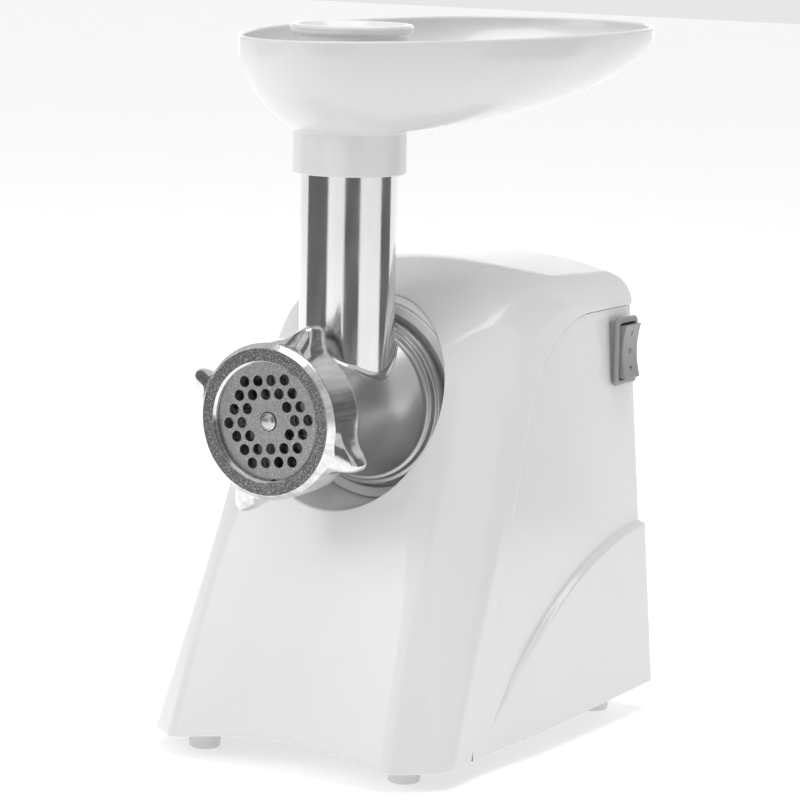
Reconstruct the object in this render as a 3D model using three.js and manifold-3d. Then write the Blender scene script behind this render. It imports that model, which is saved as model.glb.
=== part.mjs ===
// Electric meat grinder: a moulded two-shell housing with a motor and three-stage gearbox,
// and a removable metal grinding head that carries the tray and the pusher.
// Millimetres. X to the right seen from the front, Y to the back, Z up; the plate faces -Y.
// Every piece is first placed from the cutting plate's outer face (y = 0) and the floor (z = 0).

import * as THREE from 'three';
import * as BufferGeometryUtils from 'three/addons/utils/BufferGeometryUtils.js';
import Module from 'manifold-3d';

const wasm = await Module();
wasm.setup();

// ---- Driving dimensions -------------------------------------------------------------------

const GAP = 0.3; // between pieces that rest on each other
const RUNNING_GAP = 0.4; // around turning pieces
const AXIS_Z = 157.3; // height of the barrel, auger and output shaft

// Housing
const HOUSING_HALF_WIDTH = 78;
const SIDE_DRAFT = 0.078; // narrowing per millimetre of height
const FRONT_FOOT_Y = 6;
const FRONT_LEAN = 0.363;
const CREASE_X = HOUSING_HALF_WIDTH - 21.5;
const CREASE_DRAFT = 0.0585;
const SHOULDER_SLOPE = 0.78; // set-back per millimetre across the shoulder
const REAR_Y = 216;
const TOP_Z = 217;
const TOP_FALL = 0.045; // fall per millimetre behind the crown
const TOP_ARCH = 0.0024; // drop per square millimetre from the middle
const CROWN_Y = 140;
const FRONT_TOP_RADIUS = 52;
const TOP_EDGE_RADIUS = 11;
const REAR_EDGE_RADIUS = 5;
const WALL = 2.8;
const REAR_SHELL_INSET = 0.9;
const FENDER_PROUD = 2.2;
const FENDER_TOP_Z = 90;
const FENDER_CURVE = 0.003;
const FENDER_REACH_Y = 92;
const FRONT_EDGE_Z = 8;
const FRONT_ARCH = 6;
const SIDE_EDGE_RISE = 6;
const PARTING_FOOT_Y = 43.4;
const PARTING_LEAN = 0.455;
const PARTING_TOP_Z = 192;
const PARTING_RADIUS = 64;

// Base and feet
const BASE_Z = 15;
const BASE_THICKNESS = 3;
const FOOT_RADIUS = 6.8;
const FOOT_TOP_RADIUS = 8;
const FRONT_FOOT = [HOUSING_HALF_WIDTH - 25.6, FRONT_FOOT_Y + 25.8];
const REAR_FOOT = [HOUSING_HALF_WIDTH - 22, REAR_Y - 18];
const SCREW_HOLE_RADIUS = 1.7;
const SCREW_RADIUS = 1.4;
const SCREW_HEAD_RADIUS = 2.6;
const SCREW_WELL_RADIUS = 3;
const SCREW_WELL_DEPTH = 4;
const VENT_COUNT = 6;
const VENT_SIZE = [44, 4];
const VENT_PITCH = 9;

// Socket
const FLANGE_RADIUS = 38.5; // the head's rear flange, which the socket ring surrounds
const SOCKET_RING_RADIUS = FLANGE_RADIUS + 1.8;
const SOCKET_RADIUS = SOCKET_RING_RADIUS + 5.1;
const SOCKET_FLOOR_Y = 87;
const SOCKET_FLOOR = WALL + 0.2;
const SOCKET_RING_LENGTH = 4.5;

// Grinding head
const PLATE_RADIUS = 26.8;
const PLATE_THICKNESS = 4;
const PLATE_MARGIN = 6.4; // from the outermost holes' centres to the rim
const HOLE_PITCH = (PLATE_RADIUS - PLATE_MARGIN) / 3;
const HOLE_RADIUS = 2.4;
const PLATE_TURN = 7.4; // degrees, as the plate sits
const PIN_RADIUS = 3.9;
const PIN_PROUD = 1.8;
const MOUTH_WALL = 1.8;
const BARREL_MOUTH_RADIUS = PLATE_RADIUS + GAP + MOUTH_WALL;
const BORE_RADIUS = 20.2;
const BARREL_RADIUS = BORE_RADIUS + 3;
const KNIFE_BORE_RADIUS = PLATE_RADIUS - 2.3;
const KNIFE_RADIUS = KNIFE_BORE_RADIUS - 1.1;
const AUGER_END_RADIUS = 10;
const DRIVE_SQUARE_RADIUS = 6.4; // to the corners of the knife's square
const DRIVE_HEX_RADIUS = 6.6; // to the corners of the auger's tail
const FLANGE_SET_BACK = 3; // from the socket floor to the flange's rear face
const NECK_RADIUS = 21.2;
const NECK_Y = SOCKET_FLOOR_Y - FLANGE_SET_BACK - NECK_RADIUS - 0.8;
const NECK_BORE_RADIUS = NECK_RADIUS - 2.2;
const NECK_TOP_Z = 276;
const RING_WALL = 4.8;
const RING_RADIUS = BARREL_MOUTH_RADIUS + GAP + RING_WALL;
const RING_OPENING_RADIUS = PLATE_RADIUS - 1.3;
const RING_FRONT_Y = -3;
const RING_LENGTH = 22;
const RING_BEVEL = [2.2, 2.6]; // across, along
const LUG_RADIUS = RING_RADIUS + 11.5;
const LUG_COUNT = 4;
const LUG_TURN = 68; // degrees
const LUG_FRONT_Y = 1;
const AUGER_PITCH = 20;

// Tray and pusher
const COLLAR_RADIUS = NECK_RADIUS + GAP + 3.5;
const COLLAR_BOTTOM_Z = NECK_TOP_Z - 16;
const COLLAR_TOP_Z = NECK_TOP_Z + 3;
const TRAY_RIM_Z = COLLAR_TOP_Z + 41.2;
const TRAY_FRONT_Y = 2;
const TRAY_REAR_Y = 276;
const TRAY_WIDEST_Y = 148;
const TRAY_HALF_WIDTH = 71;
const TRAY_FRONT_POWER = 1.85;
const TRAY_REAR_POWER = 2.5;
const TRAY_WALL = 2.6;
const PUSHER_RADIUS = NECK_BORE_RADIUS - 1.2;
const PUSHER_WALL = 2.4;
const PUSHER_FLANGE_RADIUS = PUSHER_RADIUS + 9.2;
const PUSHER_BOTTOM_Z = AXIS_Z + 29.7;
const PUSHER_TOP_Z = TRAY_RIM_Z + 4.8;

// Switch, lock button and cord inlet
const SWITCH_Y = REAR_Y - 16.5;
const SWITCH_Z = 172;
const BEZEL_SIZE = [20.5, 31.5];
const BEZEL_LIP = 1.5;
const BEZEL_PROUD = 3.6;
const ROCKER_SIZE = [14.4, 25.4];
const ROCKER_GAP = 0.4;
const LOCK_Y = 102;
const LOCK_RADIUS = 8;
const LOCK_TRAVEL = 3;
const LOCK_COLLAR = 2;
const LOCK_SPRING_RADIUS = 5;
const LOCK_SPRING_LENGTH = 10;
const LOCK_WIRE_RADIUS = 0.6;
const INLET_PLACE = [-45, 40]; // [x, z] on the rear face
const INLET_RADIUS = 5;

// Gear train: teeth and module of each wheel
const MOTOR_Z = 84;
const STAGES = [
  { pinion: 10, wheel: 50, module: 1 },
  { pinion: 12, wheel: 44, module: 1.25 },
  { pinion: 12, wheel: 46, module: 1.5 },
];
const TOOTH_BACKLASH = 0.45;
const SECOND_AXLE_ANGLE = 35; // degrees from straight down, seen from the output shaft
const AXLE_RADIUS = 3;
const OUTPUT_SHAFT_RADIUS = 7;
const OUTPUT_HUB_RADIUS = 11;
const CASE_WALL = 1.6;
const CASE_ROOM = 1; // from the tooth tips to the wall
const CASE_PLATE = 2.6;
const CASE_SET_BACK = 2.6; // behind the socket floor
const WHEEL_WIDTHS = [5, 6, 9];
const WHEEL_SPACING = 2;

// Motor
const MOTOR_SET_BACK = 2; // behind the gearbox
const STACK_LENGTH = 32;
const BEARING_LENGTH = 6;
const WINDING_LENGTH = 4.5;
const COMMUTATOR_LENGTH = 9;
const FAN_LENGTH = 7;
const STATOR_SIZE = [70, 60];
const ARMATURE_RADIUS = 18.5;
const AIR_GAP = 0.8;
const MOTOR_SHAFT_RADIUS = 4;
const BEARING_RADIUS = 7;
const BRACKET_THICKNESS = 3;
const COMMUTATOR_RADIUS = 11;
const FAN_RADIUS = 24;

// ---- Solids -------------------------------------------------------------------------------

function solidOf(geometry) {
  const bare = geometry.index ? geometry.clone() : BufferGeometryUtils.mergeVertices(geometry);
  for (const name of Object.keys(bare.attributes)) {
    if (name !== 'position') bare.deleteAttribute(name);
  }
  const merged = BufferGeometryUtils.mergeVertices(bare, 1e-5);
  const points = merged.attributes.position.array;
  const index = merged.index.array;
  const triangles = [];
  let volume = 0;
  for (let i = 0; i < index.length; i += 3) {
    const [a, b, c] = [index[i], index[i + 1], index[i + 2]];
    if (a === b || b === c || c === a) continue;
    triangles.push(a, b, c);
    const [p, q, r] = [a, b, c].map((k) => new THREE.Vector3().fromArray(points, 3 * k));
    volume += p.dot(q.cross(r)) / 6;
  }
  if (volume < 0) triangles.reverse();
  return new wasm.Manifold(new wasm.Mesh({
    numProp: 3,
    vertProperties: new Float32Array(points),
    triVerts: new Uint32Array(triangles),
  }));
}

function gridSolid(rows) {
  // rows: closed loops of [x, y, z] with equal counts; the first and last loop are capped.
  const columns = rows[0].length;
  const points = rows.flat();
  const index = [];
  for (let r = 0; r + 1 < rows.length; r += 1) {
    for (let c = 0; c < columns; c += 1) {
      const d = (c + 1) % columns;
      index.push(r * columns + c, r * columns + d, (r + 1) * columns + d);
      index.push(r * columns + c, (r + 1) * columns + d, (r + 1) * columns + c);
    }
  }
  for (const [row, flip] of [[0, true], [rows.length - 1, false]]) {
    const centre = points.length;
    const middle = [0, 1, 2].map((k) => rows[row].reduce((sum, p) => sum + p[k], 0) / columns);
    points.push(middle);
    for (let c = 0; c < columns; c += 1) {
      const d = (c + 1) % columns;
      const edge = [row * columns + c, row * columns + d];
      index.push(centre, ...(flip ? edge.reverse() : edge));
    }
  }
  return solidOf(bufferOf(points, index));
}

function ringSolid(sections) {
  // sections: loops of [x, y, z] around a closed ring, so nothing needs a cap.
  const count = sections[0].length;
  const points = sections.flat();
  const index = [];
  for (let s = 0; s < sections.length; s += 1) {
    const next = (s + 1) % sections.length;
    for (let p = 0; p < count; p += 1) {
      const q = (p + 1) % count;
      index.push(s * count + p, s * count + q, next * count + q);
      index.push(s * count + p, next * count + q, next * count + p);
    }
  }
  return solidOf(bufferOf(points, index));
}

function bufferOf(points, index) {
  const geometry = new THREE.BufferGeometry();
  geometry.setAttribute('position', new THREE.BufferAttribute(new Float32Array(points.flat()), 3));
  geometry.setIndex(index);
  return geometry;
}

function box(x, y, z) {
  // x, y, z: [low, high]
  const size = [x, y, z].map(([low, high]) => high - low);
  const geometry = new THREE.BoxGeometry(...size);
  geometry.translate((x[0] + x[1]) / 2, (y[0] + y[1]) / 2, (z[0] + z[1]) / 2);
  return solidOf(geometry);
}

function latheY(profile, segments = 32, x = 0, z = AXIS_Z) {
  // profile: closed list of [radius, y]
  const points = profile.map(([r, y]) => new THREE.Vector2(Math.max(r, 0), y));
  if (profile[0][0] > 0) points.push(points[0].clone());
  const geometry = new THREE.LatheGeometry(points, segments);
  geometry.translate(x, 0, z);
  return solidOf(geometry);
}

function latheZ(profile, segments = 32, x = 0, y = 0) {
  // profile: closed list of [radius, z]
  const points = profile.map(([r, z]) => new THREE.Vector2(Math.max(r, 0), z));
  if (profile[0][0] > 0) points.push(points[0].clone());
  const geometry = new THREE.LatheGeometry(points, segments);
  geometry.rotateX(Math.PI / 2);
  geometry.translate(x, y, 0);
  return solidOf(geometry);
}

function rodY(radius, y0, y1, segments = 24, x = 0, z = AXIS_Z) {
  return latheY([[0, y0], [radius, y0], [radius, y1], [0, y1]], segments, x, z);
}

function tubeY(outer, inner, y0, y1, segments = 24, x = 0, z = AXIS_Z) {
  return latheY([[inner, y0], [outer, y0], [outer, y1], [inner, y1]], segments, x, z);
}

function rodZ(radius, z0, z1, x, y, segments = 24) {
  return latheZ([[0, z0], [radius, z0], [radius, z1], [0, z1]], segments, x, y);
}

function shapeOf(points) {
  return new THREE.Shape(points.map(([a, b]) => new THREE.Vector2(a, b)));
}

function extrudeY(points, y0, y1) {
  // points: outline as [x, z]
  const geometry = new THREE.ExtrudeGeometry(shapeOf(points), { depth: y1 - y0, bevelEnabled: false });
  geometry.rotateX(Math.PI / 2);
  geometry.translate(0, y1, 0);
  return solidOf(geometry);
}

function extrudeX(points, x0, x1) {
  // points: outline as [y, z]
  const geometry = new THREE.ExtrudeGeometry(shapeOf(points), { depth: x1 - x0, bevelEnabled: false });
  geometry.applyMatrix4(new THREE.Matrix4().set(0, 0, 1, x0, 1, 0, 0, 0, 0, 1, 0, 0, 0, 0, 0, 1));
  return solidOf(geometry);
}

function roundedRectangle(centre, size, radius, steps = 4) {
  const points = [];
  for (let corner = 0; corner < 4; corner += 1) {
    const [sx, sy] = [[1, 1], [-1, 1], [-1, -1], [1, -1]][corner];
    for (let k = 0; k <= steps; k += 1) {
      const angle = (corner + k / steps) * Math.PI / 2;
      points.push([
        centre[0] + sx * (size[0] / 2 - radius) + radius * Math.cos(angle),
        centre[1] + sy * (size[1] / 2 - radius) + radius * Math.sin(angle),
      ]);
    }
  }
  return points;
}

function circlePoints(centre, radius, count) {
  return Array.from({ length: count }, (_, k) => {
    const angle = 2 * Math.PI * k / count;
    return [centre[0] + radius * Math.cos(angle), centre[1] + radius * Math.sin(angle)];
  });
}

function hullOf(points) {
  // Convex outline around the points, counter-clockwise.
  const sorted = [...points].sort((p, q) => p[0] - q[0] || p[1] - q[1]);
  const turn = (o, p, q) => (p[0] - o[0]) * (q[1] - o[1]) - (p[1] - o[1]) * (q[0] - o[0]);
  const half = (list) => {
    const chain = [];
    for (const p of list) {
      while (chain.length > 1 && turn(chain.at(-2), chain.at(-1), p) <= 1e-9) chain.pop();
      chain.push(p);
    }
    return chain.slice(0, -1);
  };
  return [...half(sorted), ...half(sorted.reverse())];
}

// ---- Nodes --------------------------------------------------------------------------------

const group = new THREE.Group();
const shiftY = -(Math.min(RING_FRONT_Y, TRAY_FRONT_Y) + Math.max(TRAY_REAR_Y, REAR_Y)) / 2;
group.position.set(0, shiftY, 0);

const FINISHES = {
  housing: { color: 0xf2f2f1, roughness: 0.22, metalness: 0 },
  trim: { color: 0x8b8c8d, roughness: 0.45, metalness: 0 },
  foot: { color: 0xd7d7d5, roughness: 0.7, metalness: 0 },
  polished: { color: 0xc9cacb, roughness: 0.18, metalness: 1 },
  steel: { color: 0x9a9b9c, roughness: 0.4, metalness: 1 },
  dark: { color: 0x35363a, roughness: 0.6, metalness: 0 },
  copper: { color: 0xb4683a, roughness: 0.4, metalness: 1 },
  gear: { color: 0xe8e4d6, roughness: 0.5, metalness: 0 },
  brass: { color: 0xb9974f, roughness: 0.35, metalness: 1 },
};

function add(name, solid, finish) {
  const mesh = solid.getMesh();
  const geometry = new THREE.BufferGeometry();
  geometry.setAttribute('position', new THREE.BufferAttribute(new Float32Array(mesh.vertProperties), 3));
  geometry.setIndex(new THREE.BufferAttribute(new Uint32Array(mesh.triVerts), 1));
  const node = new THREE.Mesh(geometry, new THREE.MeshStandardMaterial(FINISHES[finish]));
  node.name = name;
  group.add(node);
}

// ---- Housing form -------------------------------------------------------------------------

function roundedMax(a, b, radius) {
  const u = Math.max(radius + a, 0);
  const v = Math.max(radius + b, 0);
  return Math.min(-radius, Math.max(a, b)) + Math.hypot(u, v);
}

function housingField(x, y, z) {
  // Negative inside, about the distance in millimetres to the outer skin.
  const ax = Math.abs(x);
  const side = (ax - HOUSING_HALF_WIDTH + SIDE_DRAFT * z) / Math.hypot(1, SIDE_DRAFT);
  const front = (FRONT_FOOT_Y + FRONT_LEAN * z - y) / Math.hypot(1, FRONT_LEAN);
  const creaseX = CREASE_X - CREASE_DRAFT * z;
  const shoulderY = FRONT_FOOT_Y + FRONT_LEAN * z + SHOULDER_SLOPE * (ax - creaseX);
  const shoulder = (shoulderY - y) / Math.hypot(1, FRONT_LEAN, SHOULDER_SLOPE);
  const rear = y - REAR_Y;
  const behind = Math.max(y - CROWN_Y, 0);
  const top = z - (TOP_Z - TOP_FALL * behind - TOP_ARCH * ax * ax);
  const cornerRadius = 6 + 0.12 * z;
  const nose = roundedMax(front, shoulder, 2);
  const plan = roundedMax(roundedMax(nose, side, cornerRadius), rear, REAR_EDGE_RADIUS);
  const crown = roundedMax(roundedMax(side, rear, REAR_EDGE_RADIUS), top, TOP_EDGE_RADIUS);
  return Math.max(roundedMax(nose, top, FRONT_TOP_RADIUS), plan, crown);
}

const DOME_Z = 150;
const DOME_Y = 135;

function reach(origin, direction, level) {
  // Distance from the origin along the direction to the skin pushed out by level.
  let low = 0;
  let high = 400;
  for (let k = 0; k < 40; k += 1) {
    const middle = (low + high) / 2;
    const [x, y, z] = origin.map((value, i) => value + direction[i] * middle);
    if (housingField(x, y, z) < level) low = middle;
    else high = middle;
  }
  return low;
}

function housingDirections(perEdge) {
  const creaseY = FRONT_FOOT_Y + FRONT_LEAN * 60;
  const cornerY = creaseY + SHOULDER_SLOPE * (HOUSING_HALF_WIDTH - CREASE_X);
  const guide = [
    [-CREASE_X, creaseY], [CREASE_X, creaseY], [HOUSING_HALF_WIDTH, cornerY + 5],
    [HOUSING_HALF_WIDTH, REAR_Y], [-HOUSING_HALF_WIDTH, REAR_Y], [-HOUSING_HALF_WIDTH, cornerY + 5],
  ];
  const angles = [];
  guide.forEach((start, edge) => {
    const end = guide[(edge + 1) % guide.length];
    for (let k = 0; k < perEdge[edge]; k += 1) {
      const t = (1 - Math.cos(Math.PI * k / perEdge[edge])) / 2;
      const x = start[0] + (end[0] - start[0]) * t;
      const y = start[1] + (end[1] - start[1]) * t - DOME_Y;
      angles.push(Math.atan2(y, x));
    }
  });
  return angles;
}

function housingSolid(level, bottom) {
  const angles = housingDirections([4, 3, 5, 5, 5, 3]);
  const rows = [];
  const heights = [bottom, 25, 60, 95, 125];
  for (const z of heights) {
    rows.push(angles.map((angle) => {
      const direction = [Math.cos(angle), Math.sin(angle), 0];
      const distance = reach([0, DOME_Y, z], direction, level);
      return [direction[0] * distance, DOME_Y + direction[1] * distance, z];
    }));
  }
  const tilts = [0, 12, 22, 31, 42, 56, 74];
  for (const tilt of tilts) {
    const up = Math.sin(THREE.MathUtils.degToRad(tilt));
    const flat = Math.cos(THREE.MathUtils.degToRad(tilt));
    rows.push(angles.map((angle) => {
      const direction = [flat * Math.cos(angle), flat * Math.sin(angle), up];
      const distance = reach([0, DOME_Y, DOME_Z], direction, level);
      return direction.map((value, i) => value * distance + [0, DOME_Y, DOME_Z][i]);
    }));
  }
  return gridSolid(rows);
}

function partingLine(shift) {
  // [y, z] points from the foot to the back, moved square to the line by shift.
  const slope = Math.atan(PARTING_LEAN);
  const corner = [PARTING_FOOT_Y + PARTING_LEAN * PARTING_TOP_Z, PARTING_TOP_Z];
  const turn = Math.PI / 2 - slope;
  const tangent = PARTING_RADIUS * Math.tan(turn / 2);
  const centre = [corner[0] + tangent, PARTING_TOP_Z - PARTING_RADIUS];
  const radius = PARTING_RADIUS - shift;
  const points = [[PARTING_FOOT_Y - 20 * PARTING_LEAN + shift / Math.cos(slope), -20]];
  for (let k = 0; k <= 7; k += 1) {
    const angle = Math.PI - slope - turn * k / 7;
    points.push([centre[0] + radius * Math.cos(angle), centre[1] + radius * Math.sin(angle)]);
  }
  points.push([REAR_Y + 40, PARTING_TOP_Z - shift]);
  return points;
}

function frontRegion(shift) {
  const far = HOUSING_HALF_WIDTH + 30;
  const outline = [...partingLine(shift), [REAR_Y + 40, TOP_Z + 60], [-80, TOP_Z + 60], [-80, -20]];
  return extrudeX(outline, -far, far);
}

function fenderRegion() {
  const outline = [[FENDER_REACH_Y - 60, -20], [REAR_Y + 40, -20], [REAR_Y + 40, FENDER_TOP_Z]];
  const steps = 8;
  for (let k = 0; k <= steps; k += 1) {
    const y = REAR_Y + 3 + (FENDER_REACH_Y - 60 - REAR_Y - 3) * k / steps;
    outline.push([y, Math.max(FENDER_TOP_Z - FENDER_CURVE * (REAR_Y + 3 - y) ** 2, -19)]);
  }
  return extrudeX(outline, -HOUSING_HALF_WIDTH - 20, HOUSING_HALF_WIDTH + 20);
}

function undersideCut() {
  // What lies below the housing's lower edge: an arch in front and a slow rise to the back.
  const sideOutline = [[-60, -30], [FRONT_FOOT_Y + 8, FRONT_EDGE_Z], [60, FRONT_EDGE_Z + 0.5]];
  sideOutline.push([REAR_Y + 30, FRONT_EDGE_Z + SIDE_EDGE_RISE + 1], [REAR_Y + 30, -30]);
  const side = extrudeX(sideOutline, -150, 150);
  const archOutline = [[-CREASE_X, -30], [CREASE_X, -30]];
  for (let k = 0; k <= 8; k += 1) {
    const x = CREASE_X * (1 - k / 4);
    archOutline.push([x, FRONT_EDGE_Z + FRONT_ARCH * Math.cos(Math.PI * x / (2 * CREASE_X))]);
  }
  return side.add(box([-150, 150], [-60, REAR_Y + 60], [-30, FRONT_EDGE_Z]))
    .add(extrudeY(archOutline, -60, 60));
}

function sideX(z) {
  return HOUSING_HALF_WIDTH - SIDE_DRAFT * z;
}

function gearCentres() {
  // Axes of the motor, first axle, second axle and output shaft, as [x, z].
  const distance = STAGES.map((s) => s.module * (s.pinion + s.wheel) / 2);
  const angle = THREE.MathUtils.degToRad(SECOND_AXLE_ANGLE);
  const output = [0, AXIS_Z];
  const second = [distance[2] * Math.sin(angle), AXIS_Z - distance[2] * Math.cos(angle)];
  const motor = [0, MOTOR_Z];
  const span = Math.hypot(second[0] - motor[0], second[1] - motor[1]);
  const along = (distance[1] ** 2 - distance[0] ** 2 + span ** 2) / (2 * span);
  const off = Math.sqrt(distance[1] ** 2 - along ** 2);
  const ux = (motor[0] - second[0]) / span;
  const uz = (motor[1] - second[1]) / span;
  const first = [second[0] + ux * along - uz * off, second[1] + uz * along + ux * off];
  return { motor, first, second, output };
}

function wheelPlaces(front) {
  // [front, back] of each wheel, the output wheel foremost.
  const places = [];
  let y = front;
  for (const width of [...WHEEL_WIDTHS].reverse()) {
    places.unshift([y, y + width]);
    y += width + WHEEL_SPACING;
  }
  return places;
}

const centres = gearCentres();
const CASE_FRONT_Y = SOCKET_FLOOR_Y + SOCKET_FLOOR + CASE_SET_BACK;
const GEAR_Y = wheelPlaces(CASE_FRONT_Y + CASE_PLATE + WHEEL_SPACING);
const CASE_BACK_Y = GEAR_Y[0][1] + WHEEL_SPACING;
const MOTOR_FRONT_Y = CASE_BACK_Y + CASE_PLATE + MOTOR_SET_BACK;

function addHousing() {
  const outer = housingSolid(0, -5);
  const inner = housingSolid(-WALL, -6);
  const under = undersideCut();

  const socketCup = rodY(SOCKET_RADIUS + WALL, 20, SOCKET_FLOOR_Y + SOCKET_FLOOR, 36).intersect(outer);
  const socketCut = rodY(SOCKET_RADIUS, -60, SOCKET_FLOOR_Y, 36);
  const shaftHole = rodY(OUTPUT_HUB_RADIUS + 4, 60, SOCKET_FLOOR_Y + 10, 24);
  const lockHole = lockRod(LOCK_RADIUS + GAP, -100, -40);
  const front = outer.subtract(inner).intersect(frontRegion(0)).add(socketCup)
    .subtract(socketCut).subtract(shaftHole).subtract(lockHole).subtract(under);
  add('front_housing', front, 'housing');

  const rearOuter = housingSolid(-REAR_SHELL_INSET, -5);
  const fender = housingSolid(FENDER_PROUD, -5).intersect(fenderRegion());
  const rear = rearOuter.add(fender).subtract(inner).subtract(frontRegion(GAP)).subtract(under)
    .subtract(switchBox(GAP)).subtract(cordHole());
  add('rear_housing', rear, 'housing');

  const base = housingSolid(-WALL - 0.6, BASE_Z - 12)
    .intersect(box([-150, 150], [-50, 300], [BASE_Z, BASE_Z + BASE_THICKNESS]));
  let plate = base;
  for (let k = 0; k < VENT_COUNT; k += 1) {
    const y = 120 + (k - (VENT_COUNT - 1) / 2) * VENT_PITCH;
    const [length, width] = VENT_SIZE;
    const slot = box([-length / 2, length / 2], [y - width / 2, y + width / 2], [0, 40]);
    plate = plate.subtract(slot);
  }
  for (const [x, y] of footPlaces()) plate = plate.subtract(rodZ(SCREW_HOLE_RADIUS, 0, 40, x, y, 12));
  add('base_plate', plate, 'housing');

  footPlaces().forEach(([x, y], k) => {
    const name = ['front_left', 'front_right', 'rear_left', 'rear_right'][k];
    const top = BASE_Z - GAP;
    const foot = latheZ([
      [SCREW_WELL_RADIUS, 0], [FOOT_RADIUS - 0.8, 0], [FOOT_RADIUS, 0.8], [FOOT_TOP_RADIUS, top],
      [SCREW_HOLE_RADIUS, top], [SCREW_HOLE_RADIUS, SCREW_WELL_DEPTH], [SCREW_WELL_RADIUS, SCREW_WELL_DEPTH],
    ], 12, x, y);
    add(`foot_${name}`, foot, 'foot');
    const headTop = SCREW_WELL_DEPTH - RUNNING_GAP;
    const screwTop = BASE_Z + BASE_THICKNESS + 6;
    const screw = latheZ([
      [0, 1], [SCREW_HEAD_RADIUS, 1], [SCREW_HEAD_RADIUS, headTop], [SCREW_RADIUS, headTop],
      [SCREW_RADIUS, screwTop], [0, screwTop],
    ], 8, x, y);
    add(`foot_screw_${name}`, screw, 'steel');
  });

  const ring = tubeY(SOCKET_RADIUS - GAP, SOCKET_RING_RADIUS, SOCKET_FLOOR_Y - SOCKET_RING_LENGTH + 1.2,
    SOCKET_FLOOR_Y - GAP, 36);
  add('socket_ring', ring, 'housing');
  const seal = tubeY(OUTPUT_HUB_RADIUS + 3.7, OUTPUT_HUB_RADIUS + RUNNING_GAP, SOCKET_FLOOR_Y + 0.2,
    SOCKET_FLOOR_Y + SOCKET_FLOOR - 0.2, 20);
  add('shaft_seal', seal, 'dark');
}

function footPlaces() {
  const [fx, fy] = FRONT_FOOT;
  const [rx, ry] = REAR_FOOT;
  return [[-fx, fy], [fx, fy], [-rx, ry], [rx, ry]];
}

function lockRod(radius, x0, x1, segments = 24) {
  const geometry = new THREE.CylinderGeometry(radius, radius, x1 - x0, segments);
  geometry.rotateZ(Math.PI / 2);
  geometry.translate((x0 + x1) / 2, LOCK_Y, AXIS_Z);
  return solidOf(geometry);
}

function switchBox(grow) {
  const size = BEZEL_SIZE.map((value) => value - 2 * BEZEL_LIP + 2 * grow);
  const points = roundedRectangle([SWITCH_Y, SWITCH_Z], size, 1);
  return extrudeX(points, 30, 100);
}

function cordHole() {
  return rodY(INLET_RADIUS + GAP, REAR_Y - 20, REAR_Y + 20, 16, ...INLET_PLACE);
}

function addSwitch() {
  const skin = sideX(SWITCH_Z);
  const face = skin + BEZEL_PROUD;
  const flange = extrudeX(roundedRectangle([SWITCH_Y, SWITCH_Z], BEZEL_SIZE, 2.5), skin + 1.7, face);
  const wellSize = [ROCKER_SIZE[0] + 2 * ROCKER_GAP, ROCKER_SIZE[1] + 1];
  const well = extrudeX(roundedRectangle([SWITCH_Y, SWITCH_Z], wellSize, 1), skin - 12, face + 5);
  const body = switchBox(0).intersect(box([skin - 16, skin + 2], [0, 300], [0, 300]));
  add('switch_bezel', flange.add(body).subtract(well), 'trim');

  const outline = [];
  for (let k = 0; k <= 8; k += 1) {
    const t = k / 4 - 1;
    outline.push([t * ROCKER_SIZE[1] / 2, 2.4 + 1.8 * t * t]);
  }
  outline.push([11.5, -4], [3, -9], [-3, -9], [-11.5, -4]);
  const centre = face - 1.2;
  const settings = { depth: ROCKER_SIZE[0], bevelEnabled: false };
  const geometry = new THREE.ExtrudeGeometry(shapeOf(outline), settings);
  geometry.applyMatrix4(new THREE.Matrix4().set(
    0, 1, 0, centre,
    0, 0, 1, SWITCH_Y - ROCKER_SIZE[0] / 2,
    1, 0, 0, SWITCH_Z,
    0, 0, 0, 1,
  ));
  add('switch_rocker', solidOf(geometry), 'trim');
}

function addLock() {
  const skin = -sideX(AXIS_Z);
  const inside = skin + WALL + LOCK_TRAVEL + 5;
  const head = lockRod(LOCK_RADIUS, skin - 1.5, inside);
  const collar = lockRod(LOCK_RADIUS + LOCK_COLLAR, inside - 1.5, inside);
  const stem = lockRod(2.5, inside - 1, inside + 10, 12);
  add('lock_button', head.add(collar).add(stem), 'trim');

  const turns = 3.5;
  const start = inside + LOCK_WIRE_RADIUS + GAP;
  const length = LOCK_SPRING_LENGTH;
  const points = [];
  for (let k = 0; k <= 42; k += 1) {
    const angle = 2 * Math.PI * turns * k / 42;
    const y = LOCK_Y + LOCK_SPRING_RADIUS * Math.cos(angle);
    const z = AXIS_Z + LOCK_SPRING_RADIUS * Math.sin(angle);
    points.push(new THREE.Vector3(start + length * k / 42, y, z));
  }
  const wire = shapeOf(circlePoints([0, 0], LOCK_WIRE_RADIUS, 5));
  const path = new THREE.CatmullRomCurve3(points);
  const coil = new THREE.ExtrudeGeometry(wire, { steps: 32, bevelEnabled: false, extrudePath: path });
  add('lock_spring', solidOf(coil), 'steel');

  const seatX = start + length + 1;
  const seat = box([seatX, seatX + 1.5], [LOCK_Y - 9, LOCK_Y + 9], [AXIS_Z - 9, AXIS_Z + 9])
    .subtract(lockRod(3, seatX - 2, seatX + 4, 12));
  add('lock_spring_seat', seat, 'steel');
}

// ---- Gears --------------------------------------------------------------------------------

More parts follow.
